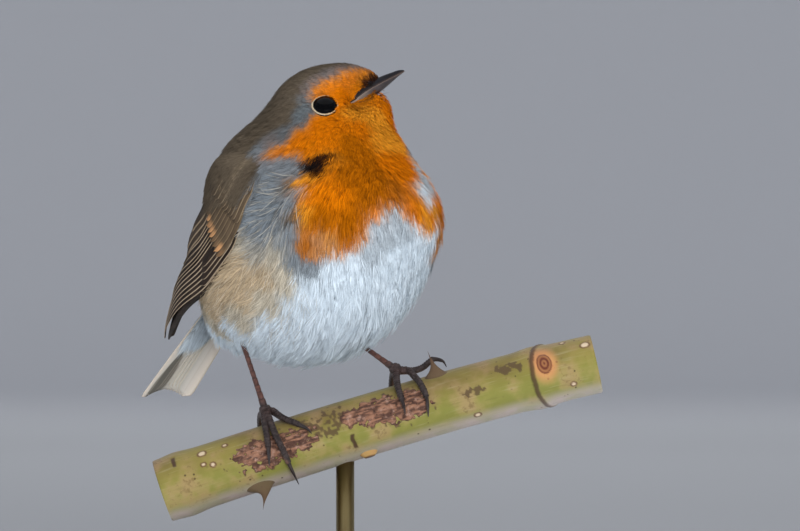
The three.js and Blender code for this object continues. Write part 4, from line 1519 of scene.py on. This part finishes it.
def buildUnderTail():
    # Soft feathers that cover the underside of the tail's root: ash blue in the middle as painted shade,
    # white on the left.
    count = tail["coverts"]
    first, second = spreadPairs(count)
    b0 = -0.95 + 1.9 * first
    a0 = 0.16 + (0.36 - 0.26 * smooth(b0, 0.1, 0.6)) * second
    share = np.linspace(0, 1, 6)
    a = a0[:, None] + 0.19 * share * dice.uniform(0.8, 1.15, (count, 1))
    b = b0[:, None] * (1 - 0.12 * share) + dice.normal(0, 0.04, (count, 1)) * share
    lift = -0.9 - (3.4 - 4.2 * a) * np.sqrt(np.clip(1.05 - b * b, 0, 1))
    lift = lift - dice.normal(0, 0.2, (count, 1)) * share
    path = tailAt(a, b, lift)
    ups = unit(path - tailAt(a, b * 0, 0 * a))
    barbs = barbShapes(path, ups, sidesOf(path, ups), 1.5, 15, 0.08, 0.4)
    owner = barbs["owner"]
    # Painted shade in ash blue, from the middle to the right.
    ashy = (smooth(b0, 0.35, 0.0) * 0.4)[owner] * dice.uniform(0.5, 1, len(owner))
    writeBarbs("tail_under_coverts", barbs, "plumage_white", markColumns(sharesOf(len(owner), grey=ashy)))


buildTail()
buildUnderTail()
print("tail done")

# ---- stem
stem = {
    # x and z of its ends and of the point that bows it, its radii at the ends, and where it swells: share of
    # its length, how much and how far
    "y": -2,
    "start": (-44, 28.7),
    "middle": (24.5, 52),
    "end": (70, 62.2),
    "radii": (8.5, 7.95),
    "swellings": [(0.05, 0.45, 0.03), (0.865, 0.5, 0.03)],
    "steps": 560,
    "sides": 150,
}
stemShares = np.linspace(0, 1, 2001)[:, None]
stemEnds = [np.array([x, stem["y"], z]) for x, z in (stem["start"], stem["middle"], stem["end"])]
stemLine = (
    (1 - stemShares) ** 2 * stemEnds[0]
    + 2 * (1 - stemShares) * stemShares * stemEnds[1]
    + stemShares**2 * stemEnds[2]
)
stemSlopes = np.gradient(stemLine, axis=0)
stemRun = runOf(stemLine)
stemLength = stemRun[-1]
nearSide = np.array([0, -1.0, 0])


def stemRadius(share):
    # Straight taper plus a bell at each swelling.
    radius = stem["radii"][0] + (stem["radii"][1] - stem["radii"][0]) * share
    for at, by, width in stem["swellings"]:
        radius = radius + by * np.exp(-(((share - at) / width) ** 2))
    return radius


def stemPoint(share, degrees, off):
    # Points round the stem: share of its length, degrees from its top towards -Y, distance off the bark.
    share, degrees = np.asarray(share, float), np.radians(degrees)
    run = share * stemLength
    up = unit(np.cross(nearSide, unit(readAt(run, stemRun, stemSlopes))))
    middle = readAt(run, stemRun, stemLine)
    reach = (stemRadius(share) + off)[..., None]
    return middle + up * reach * np.cos(degrees)[..., None] + nearSide * reach * np.sin(degrees)[..., None]


def shareAt(x):
    return float(np.interp(x, stemLine[:, 0], stemRun) / stemLength)


def latticeNoise(x, y, seed, size=64):
    # Smooth noise of two arrays from a table of random heights, about -1 to 1.
    table = np.random.default_rng(seed).uniform(-1, 1, (size, size))
    i, j = np.floor(x).astype(int), np.floor(y).astype(int)
    u, v = x - i, y - j
    u, v = u * u * (3 - 2 * u), v * v * (3 - 2 * v)
    corner = lambda di, dj: table[(i + di) % size, (j + dj) % size]
    near = corner(0, 0) * (1 - u) + corner(1, 0) * u
    far = corner(0, 1) * (1 - u) + corner(1, 1) * u
    return near * (1 - v) + far * v


bark = {
    # rusty flaking scabs: x, degrees, half-length, half-height
    "scabs": [(-14.5, 78, 11.5, 4.2), (12.5, 66, 9, 3.6), (20.5, 74, 6.5, 4.4)],
    # short dark scars across the stem: x, degrees, half-length round the stem
    "scars": [(-38.9, 42, 1.8), (5.4, 112, 2.4)],
    # small pale bumps with a dark rim: x, degrees, radius
    "spots": [
        (-31.6, 42, 0.95), (-31.9, 66, 0.6), (-29.7, 72, 0.6), (-25.6, 40, 0.6), (37.4, 132, 0.75),
        (63, 118, 0.6), (68, 44, 1.0), (62.5, 20, 0.6),
    ],
    # the bud: x, degrees, half-length, half-height, and the x of the raised ring beside it
    "bud": (56.9, 66, 2.0, 2.9),
    "ring": 53.4,
    # dark stains round and between the scabs: x, degrees, half-length, half-height
    "blotches": [
        (-14.5, 78, 14, 5.6), (12.5, 66, 12, 5.2), (20.5, 74, 9, 6), (2.6, 60, 6.5, 5.4), (-4, 66, 5, 4.4),
        (46.5, 52, 3.4, 2.6), (38, 84, 3.4, 1.6), (50, 60, 2.0, 2.0),
    ],
    # radius that turns degrees round the stem into a length
    "arcRadius": 8.2,
}


def buildStem():
    # A bowed tube with its scabs, stains, scars, spots, ring and bud, as heights and as shares for colours.
    steps, sides = stem["steps"], stem["sides"]
    share = np.linspace(0, 1, steps)[:, None]
    degrees = np.linspace(0, 360, sides, endpoint=False)[None]
    run = share * stemLength
    arc = np.radians(degrees) * bark["arcRadius"]

    def gap(at, turn):
        # Distances along and round the stem from a place on it.
        around = ((degrees - turn + 180) % 360 - 180) * np.pi / 180 * bark["arcRadius"]
        return run - shareAt(at) * stemLength, around

    def patches(ovals, raggedness, low, high):
        # Ovals with ragged edges, the most of any at each place.
        most = np.zeros((steps, sides))
        for at, turn, halfLength, halfHeight in ovals:
            along, around = gap(at, turn)
            inside = 1 - (along / halfLength) ** 2 - (around / halfHeight) ** 2
            most = np.maximum(most, smooth(inside + ragged * raggedness, low, high))
        return most

    ragged = latticeNoise(run / 1.5, arc / 1.5, 1) * 0.5 + latticeNoise(run / 0.6, arc / 0.6, 2) * 0.35
    scab = patches(bark["scabs"], 1.1, 0.0, 0.2)
    blotch = patches(bark["blotches"], 1.4, 0.55, 0.8)
    scar = np.zeros((steps, sides))
    for at, turn, length in bark["scars"]:
        along, around = gap(at, turn)
        bent = np.abs(along - 0.05 * around**2 + ragged * 0.25)
        scar = np.maximum(scar, smooth(bent, 0.75, 0.35) * smooth(np.abs(around), length, length * 0.8))
    rim = np.zeros((steps, sides))
    core = np.zeros((steps, sides))
    for at, turn, radius in bark["spots"]:
        along, around = gap(at, turn)
        away = np.hypot(along / 1.25, around) + ragged * 0.12
        rim = np.maximum(rim, smooth(np.abs(away - radius), 0.3, 0.1))
        core = np.maximum(core, smooth(away, radius, radius * 0.6))
    along, around = gap(bark["ring"], 90)
    bend = 3.2 * (around / 12.0) ** 2
    node = smooth(np.abs(along - bend + 0.25 * ragged), 0.85, 0.3) * smooth(np.abs(around), 15.5, 13.5)
    at, turn, length, high = bark["bud"]
    along, around = gap(at, turn)
    away = np.hypot(along / length, around / high) + ragged * 0.06
    bud = smooth(away, 1.05, 0.9)
    halo = smooth(away, 2.3, 0.9)
    rings = np.where(away < 1.1, 0.5 + 0.5 * np.cos(away * 13), 0)
    fibre = latticeNoise(run / 5, arc / 0.28, 5) * 0.5 + latticeNoise(run / 2.6, arc / 0.16, 6) * 0.3
    rough = latticeNoise(run / 2.4, arc / 0.34, 8) * 0.6 + latticeNoise(run / 0.9, arc / 0.2, 9) * 0.5
    off = (
        0.02 * fibre + scab * (0.1 + 0.16 * rough) + blotch * 0.06 * rough - 0.18 * scar
        + 0.1 * core - 0.04 * rim + node * 0.32 + halo * 0.15 + bud * 0.18 - 0.16 * rings * bud - 0.2
    )
    cut = 0.15 * smooth(run, 0.5, 0) + 0.15 * smooth(stemLength - run, 0.5, 0)
    points = stemPoint(share + 0 * degrees, degrees + 0 * share, off - cut)
    # The underside, painted pale as a reflection.
    reflectedUnderside = smooth(degrees, 118, 150) * smooth(degrees, 262, 230)
    budMark = np.clip(bud * (0.5 + rings * 0.6), 0, 1)
    lie = (fibre * 0.5 + 0.5, rough * 0.5 + 0.5, run / stemLength, degrees / 360)
    marks = {
        "barkMarks": np.stack([scab, blotch, np.maximum(scar, node * 0.9), rim], -1),
        "barkMore": np.stack([halo, budMark, core, reflectedUnderside + 0 * share], -1),
        "barkLie": np.stack(np.broadcast_arrays(*lie), -1),
    }
    pieces = [loft(points, marks)] + [thornShape(one) for one in thorns] + [stumpShape()]
    addPiece("stem_bark", joined(pieces), barkPaint(), ["perch"])


def barkPaint():
    # Olive green above, brighter green at the middle, and beneath a pale pinkish grey that is a painted
    # reflection, all streaked lengthwise, with rusty scabs, dark scars, pale-cored spots and the bud's brown
    # rings laid over it.
    paint = Paint("barkPaint", Roughness=0.6, Sheen_Weight=0.1, Specular_IOR_Level=0.35)
    scab, blotch, scar, rim = paint.channels("barkMarks")
    halo, bud, core, pale = paint.channels("barkMore")
    fibre, rough, _, turn = paint.channels("barkLie")
    wide = paint.noise(55, 3)
    fine = paint.noise(700, 4, 0.65)
    cloud = paint.noise(140, 3)
    olive = paint.between(wide, 0.35, 0.65, "6a5c2e", "80743a")
    green = paint.between(cloud, 0.35, 0.65, "757536", "8a8446")
    colour = paint.mix(paint.step(turn, 0.12, 0.3), olive, green)
    colour = paint.layered(colour, (paint.step(cloud, 0.42, 0.7, 0, 0.6), "94785a"))
    # Painted reflection: pale pinkish grey on the underside.
    colour = paint.mix(pale, colour, paint.between(cloud, 0.3, 0.7, "a79a94", "96937a"))
    dot = paint.step(paint.cells(420), 0.17, 0.09) * paint.step(paint.noise(90, 2), 0.46, 0.58)
    smudge = paint.step(fine * 0.6 + cloud * 0.4, 0.56, 0.66) * paint.step(pale, 1.0, 0.0)
    colour = paint.layered(
        colour,
        (paint.step(fibre, 0.55, 0.9, 0, 0.35), "a39979"),
        (paint.step(fibre, 0.4, 0.1, 0, 0.35), "5c5428"),
        (dot * 0.85, "3c2b1c"),
        (smudge * 0.5, "5a4526"),
        (blotch * 0.85, "4b3a28"),
    )
    edge = paint.step(scab, 0.05, 0.5) * paint.step(scab, 0.98, 0.55)
    flake = paint.layered(
        paint.between(rough, 0.35, 0.72, "4a3228", "87614c"),
        (paint.step(fine, 0.5, 0.72, 0, 0.6), "a98a7b"),
        (paint.step(fine, 0.45, 0.33, 0, 0.85), "2e1d17"),
        (edge * 0.65, "3a261a"),
    )
    colour = paint.mix(paint.step(scab, 0.08, 0.4), colour, flake)
    colour = paint.mix(halo * 0.75, colour, paint.between(cloud, 0.3, 0.7, "c98f5e", "b9784e"))
    colour = paint.layered(
        colour, (bud, "5a2a1c"), (core * 0.8, "cdb9a0"), (rim * 0.85, "5a3a2a"), (scar * 0.9, "3b241c")
    )
    height = fibre * 0.4 + fine * 0.5 + scab * rough
    return paint.wear(Base_Color=colour, Normal=paint.bump(height, 0.5, 0.12))


# each thorn's x, degrees from the stem's top, length, foot's size and how far its tip leans along the stem
thorns = [
    {"x": -19.8, "round": 148, "length": 6.6, "base": 4.6, "lean": -1.6},
    {"x": 29.9, "round": 18, "length": 6.8, "base": 3.6, "lean": -0.4},
    {"x": 48, "round": 262, "length": 5.2, "base": 3, "lean": 0.8},
]


def thornShape(one):
    # A flattened cone that hooks over, its oval foot spread along the stem.
    share = shareAt(one["x"])
    near = stemPoint([share, share + 0.001], [one["round"]] * 2, np.array([0.0, 0.0]))
    along = unit(near[1] - near[0])
    lifts = (-0.9, one["length"] / 3, one["length"])
    foot, middle, tip = (stemPoint(share, one["round"], off) for off in lifts)
    path = curveThrough([foot, middle, tip + along * one["lean"]], 40)
    t = np.linspace(0, 1, 40)[:, None]
    across, over = framesAlong(path, along)
    wide = one["base"] * (1 - t) ** 2.3 * 1.05 + 0.22 * (1 - t) + 0.03
    thin = one["base"] * 0.42 * (1 - t) ** 2.0 * 1.1 + 0.2 * (1 - t) + 0.03
    angle = turnsOf(28)
    rings = (
        path[:, None]
        + across[:, None] * (np.cos(angle) * wide)[..., None]
        + over[:, None] * (np.sin(angle) * thin)[..., None]
    )
    tipness = smooth(t, 0.12, 0.9) + 0 * angle
    none = 0 * tipness
    marks = {
        "barkMarks": np.stack([none, none + 1, tipness * 0.3 + 0.35, none], -1),
        "barkMore": np.stack([none, tipness * 0.2, none + 0.08, none], -1),
        "barkLie": none[..., None] + (0.5, 0.5, share, one["round"] / 360),
    }
    return loft(rings, marks)


def stumpShape():
    # The stub of a broken thorn under the stem.
    share = shareAt(8.2)
    foot, tip = stemPoint(share, 150, -1.2), stemPoint(share, 153, 0.85)
    path = np.linspace(foot, tip, 16)
    t = np.linspace(0, 1, 16)
    flat = np.zeros((16, 20, 4))
    marks = {
        "barkMarks": flat + np.stack([t * 0, t * 0, smooth(t, 0.8, 1) * 0.9, t * 0], -1)[:, None],
        "barkMore": flat + (0.5, 0, 0, 0),
        "barkLie": flat + (0.5, 0.5, share, 0.4),
    }
    return tube(path, 3.0 * (1 - t**1.4 * 0.55), 20, (1, 0, 0.3), marks, 0.5)


buildStem()
print("stem done")

# ---- legs, toes and claws
# where each foot grips: x, degrees from the stem's top, height off the bark. A toe's joints are given by
# distance along the stem from there, degrees from its top and height off it.
legs = {
    "right": {
        "grip": (-13.4, 8, 2.9),
        "towards": (-0.32, 0.12, 0.94),
        "toes": {
            "inner": [(-0.8, 30, 1.3), (-1.3, 52, 0.2), (-1.8, 72, 0.1), (-2.8, 96, 0.1), (-3.2, 104, 0.4)],
            "middle": [(0.3, 27, 1.5), (0.8, 58, 0.3), (1.5, 88, 0.2), (2, 118, 0.6), (2.6, 148, 2.2)],
            "outer": [(1.7, 9, 1.3), (3.9, 30, 0.2), (6.9, 50, 0.1), (9.1, 64, 0.1), (9.9, 75, 0.4)],
            "hind": [
                (-1.6, -14, 1.2), (-2.8, -40, 0.2), (-3.6, -68, 0.1), (-3.8, -98, 0.2), (-3, -122, 0.9),
            ],
        },
    },
    "left": {
        "grip": (20.9, 10, 3.5),
        "towards": (-0.74, 0.42, 0.52),
        "toes": {
            "inner": [(-0.6, 22, 1.6), (-1, 42, 0.3), (-0.9, 60, 0.1), (-0.9, 78, 0.2), (-1.2, 90, 0.5)],
            "middle": [(2.8, 14, 1.4), (3.9, 28, 0.6), (4.9, 46, 0.1), (5.4, 74, 0.2), (4.5, 104, 0.5)],
            "outer": [
                (3.7, 2, 0.8), (6.4, -3, 1), (8.5, -6, 2.1), (10, -8, 2.8), (12, -6, 1.9), (12.6, -4, 0.3),
            ],
            "hind": [
                (-1.2, -12, 1.6), (-2.6, -38, 0.3), (-3.6, -66, 0.1), (-3.8, -96, 0.2), (-3, -120, 0.9),
            ],
        },
    },
}
limb = {
    # radii from one end to the other, and the share of a toe where its claw begins
    "shinLength": 25.5,
    "shinRadii": [1.2, 0.78, 0.68, 0.66, 0.7, 0.9],
    "toeRadii": [1.22, 0.95, 0.88, 0.8],
    "clawRadii": [0.72, 0.5, 0.12],
    "clawFrom": 0.7,
    "scutes": 15,
}


def legPaint():
    # Reddish brown shins that darken to grey-black toes, with the joints between the scales darker still.
    paint = Paint("legSkin", Roughness=0.45, Specular_IOR_Level=0.45)
    groove, dark, under, _ = paint.channels("limb")
    grain = paint.noise(900, 3, 0.6)
    shin = paint.between(grain, 0.3, 0.7, "412b26", "5f4038")
    toe = paint.between(grain, 0.3, 0.7, "241e1d", "3f3533")
    colour = paint.layered(paint.mix(dark, shin, toe), (under * 0.4, "8a6656"), (groove * 0.8, "171112"))
    return paint.wear(Base_Color=colour, Normal=paint.bump(grain * 0.4 - groove, 0.4, 0.08))


def limbTube(path, radii, sides, hint, darkness, scutes):
    # A tube with overlapping plates on its front: each plate swells and then drops to the next.
    count = len(path)
    t = np.linspace(0, 1, count)[:, None]
    angle = turnsOf(sides)[None]
    phase = (t * scutes + 0.12 * np.cos(angle)) % 1
    front = 0.55 + 0.45 * np.cos(angle)
    plate = phase**0.6 * (1 - smooth(phase, 0.86, 1)) * front
    groove = smooth(np.abs(phase - 0.97), 0.14, 0.02) * (0.4 + 0.6 * front)
    size = stopsAt(radii, t[:, 0])[:, None] * (0.9 + 0.22 * plate - 0.1 * groove)
    dark = np.broadcast_to(np.asarray(darkness, float).reshape(-1, 1), (count, 1)) + 0 * angle
    under = smooth(-np.cos(angle), 0.55, 0.95) + 0 * t
    marks = np.stack([groove, np.clip(dark, 0, 1), under, 0.5 + 0 * groove], -1)
    return tube(path, size, sides, hint, {"limb": marks})


def buildLegs():
    # A straight shin and a ball at the foot for each leg, and toes that curve through their joints to claws.
    skinMaterial = legPaint()
    horn = Paint("clawHorn", Roughness=0.32, Coat_Weight=0.2, Coat_Roughness=0.2)
    clawMaterial = horn.wear(Base_Color=horn.ramp(horn.noise(700, 3), (0.3, "191516"), (0.75, "3a302d")))
    for side, leg in legs.items():
        x, turn, off = leg["grip"]
        share = shareAt(x)
        foot = stemPoint(share, turn, off)
        way = unit(np.array(leg["towards"]))
        shin = np.linspace(foot, foot + way * limb["shinLength"], 150)
        darkness = smooth(np.linspace(0, 1, 150), 0.2, 0.04)
        facing = np.array([0.5, -0.8, 0])
        shank = limbTube(shin, limb["shinRadii"], 22, facing, darkness, 13)
        addPiece("shin_" + side, shank, skinMaterial, ["tarsus_" + side])
        paws = []
        for name, joints in leg["toes"].items():
            stops = [foot]
            for index, (along, degrees, height) in enumerate(joints):
                radius = 1.25 + (0.16 - 1.25) * (index + 1) / len(joints)
                stops.append(stemPoint(share + along / stemLength, degrees, height + radius + 0.3))
            line = curveThrough(stops, 400)
            run = runOf(line) / runOf(line)[-1]
            outward = foot - stemPoint(share, turn, -8)
            toePath = readAt(np.linspace(0, limb["clawFrom"] + 0.02, 110), run, line)
            darkness = 0.75 + 0.25 * smooth(np.linspace(0, 1, 110), 0, 0.5)
            paws.append(limbTube(toePath, limb["toeRadii"], 16, outward, darkness, limb["scutes"]))
            clawPath = readAt(np.linspace(limb["clawFrom"] - 0.03, 1, 40), run, line)
            radii = stopsAt(limb["clawRadii"], np.linspace(0, 1, 40))
            one = tube(clawPath, radii, 14, outward, None, 0.8)
            addPiece(f"claw_{side}_{name}_horn", one, clawMaterial, [f"claw_{side}_{name}"])
        ball = np.linspace(foot - way * 1.2, foot + way * 1.9, 30)
        bulge = 1.72 * np.sqrt(np.clip(1 - np.linspace(-1, 0.75, 30) ** 2, 0.02, 1))
        paws.append(limbTube(ball, bulge, 22, facing, 0.9, 3))
        addPiece("toes_" + side, joined(paws), skinMaterial, ["foot_" + side])


buildLegs()
print("legs done")

# ---- display stand
stand = {"radius": 42, "height": 8, "edge": 1.6, "rodRadius": 2.4, "rodAt": (4, -2), "collar": 4.6}


def turnedShape(profile, sides, at):
    # A profile of radius and height, turned round an upright line.
    profile = np.asarray(profile, float)
    angle = turnsOf(sides)
    rings = np.stack([
        at[0] + profile[:, :1] * np.cos(angle), at[1] + profile[:, :1] * np.sin(angle),
        profile[:, 1:] + 0 * angle,
    ], -1)
    return loft(rings)


def woodPaint():
    # A stretched and warped noise through three browns, with a finer one over it.
    wood = Paint("standWood", Roughness=0.42, Coat_Weight=0.25, Coat_Roughness=0.25)
    grain = wood.noise(35, 5, 0.6, (1, 9, 4), warp=0.6)
    fine = wood.noise(300, 3, 0.6, (1, 12, 4))
    colour = wood.ramp(grain + fine * 0.25, (0.35, "2f1d14"), (0.6, "573823"), (0.85, "6d4a30"))
    return wood.wear(Base_Color=colour, Normal=wood.bump(fine, 0.15, 0.1))


def brassPaint():
    # Brushed brass: a noise drawn out upwards changes its colour and its roughness.
    brass = Paint("standMetal", Metallic=1.0)
    brushed = brass.noise(900, 3, 0.6, (1, 1, 0.05))
    colour = brass.ramp(brushed, (0.3, "8d7c55"), (0.8, "a9986c"))
    return brass.wear(Base_Color=colour, Roughness=brass.step(brushed, 0.3, 0.7, 0.28, 0.4))


def buildStand():
    # A turned wooden disc with a groove near its rim, and a rod on a collar up to the stem.
    radius, height, edge = stand["radius"], stand["height"], stand["edge"]
    turn = np.linspace(0, np.pi / 2, 10)
    upper = np.stack([radius - edge + edge * np.cos(turn), height - edge + edge * np.sin(turn)], -1)
    groove = [(radius - back, height - deep) for back, deep in ((4, 0), (4.3, 0.25), (4.9, 0.25), (5.2, 0))]
    inner = [(r, height) for r in np.linspace(radius - 8, 0.5, 8)]
    foot = [(r, 0) for r in np.linspace(0.5, radius - 0.5, 8)]
    profile = foot + [(radius, 0.6)] + upper.tolist() + groove + inner
    base = turnedShape(profile, 128, (0, 0))
    addPiece("stand_base_turned", base, woodPaint(), ["stand_base"])
    top = stemPoint(shareAt(stand["rodAt"][0]), 180, -1.5)[2]
    rod, collar = stand["rodRadius"], stand["collar"]
    bottom = height + 0.05
    profile = [
        (0.3, bottom), (collar, bottom), (collar, bottom + 1.0), (collar - 0.5, bottom + 1.6),
        (rod + 0.3, bottom + 2.0), (rod, bottom + 2.4), (rod, top), (0.3, top),
    ]
    rodShape = turnedShape(profile, 48, stand["rodAt"])
    addPiece("stand_rod_turned", rodShape, brassPaint(), ["stand_rod"])


buildStand()
print("stand done")

# ---- floor, backdrop and light
# the bowl's sizes in metres, and its colours
stage = {"flat": 2.7, "rise": 5.5, "height": 5.5, "near": "eaebee", "floor": "999b9f", "wall": "c4c6cb"}


def floorPaint():
    # Pale round the bird, grey further out, and lighter again up the wall, by distance from the middle; the
    # lighter wall is painted light that makes up for the lamps' light falling off there.
    paint = Paint("floor", Roughness=0.95, Specular_IOR_Level=0.1)
    reach = paint.add("ShaderNodeVectorMath", {"operation": "LENGTH"}, {0: paint.place}, 1)
    colour = paint.between(reach, 0.2, 0.4, stage["near"], stage["floor"])
    colour = paint.layered(colour, (paint.step(reach, 1.2, 2.6), stage["wall"]))
    return paint.wear(Base_Color=colour)


def buildStage():
    # A bowl as seen from the bird: flat round it, then curving up all round as a quarter circle.
    ring = np.concatenate([np.linspace(0.02, stage["flat"], 8), stage["flat"] + np.zeros(24)])
    turn = np.concatenate([np.zeros(8), np.linspace(0.03, 0.5, 24) * np.pi])
    span = stage["rise"] - stage["flat"]
    radius = (ring + span * np.sin(turn)) * 1000
    height = stage["height"] * (1 - np.cos(turn)) * 1000
    angle = turnsOf(96)
    rings = np.stack([
        radius[:, None] * np.cos(angle), radius[:, None] * np.sin(angle),
        np.broadcast_to(height[:, None] - 0.05, (len(radius), 96)),
    ], -1)
    one = loft(rings)
    mesh = bpy.data.meshes.new("floor")
    faces = one["quads"].tolist() + one["tris"][:96].tolist()
    mesh.from_pydata((one["points"] * metresPerUnit).tolist(), [], faces)
    mesh.polygons.foreach_set("use_smooth", np.ones(len(faces), bool))
    mesh.materials.append(floorPaint())
    placed("floor", mesh)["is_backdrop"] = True


# place and size in metres, power in watts and colour
lights = {
    "key": ((1.05, -1.3, 0.95), 1.2, 11, (1.0, 0.985, 0.96)),
    "fill": ((-1.45, -1.2, 0.5), 0.9, 8, (0.97, 0.98, 1.0)),
    "low": ((0.3, -1.6, 0.25), 0.62, 22, (0.99, 0.99, 1.0)),
    "back": ((0.0, 1.4, 1.3), 1.2, 11.5, (0.98, 0.99, 1.0)),
}


def buildLights():
    # Round area lamps aimed at the bird's middle, and a pale sky.
    for name, (at, size, power, colour) in lights.items():
        data = bpy.data.lights.new(name, "AREA")
        data.shape = "DISK"
        data.size = size
        data.energy = power
        data.color = colour
        lamp = placed(name, data)
        lamp.location = at
        aim = np.array([0.0, 0.0, 0.09]) - np.array(at)
        turn = np.arctan2(aim[1], aim[0]) - np.pi / 2
        tilt = np.arccos(-aim[2] / np.linalg.norm(aim))
        lamp.rotation_euler = (tilt, 0, turn)
        lamp.visible_glossy = False
    world = bpy.data.worlds.new("sky")
    world.use_nodes = True
    world.node_tree.nodes["Background"].inputs[0].default_value = (0.94, 0.96, 1.0, 1)
    world.node_tree.nodes["Background"].inputs[1].default_value = 0.75
    bpy.context.scene.world = world


buildStage()
buildLights()
bpy.context.scene.view_settings.view_transform = "Standard"
print("stage and lights done")

sizes = {"cad": [list(corner) for corner in cadBox], "visual": [list(corner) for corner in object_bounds()]}
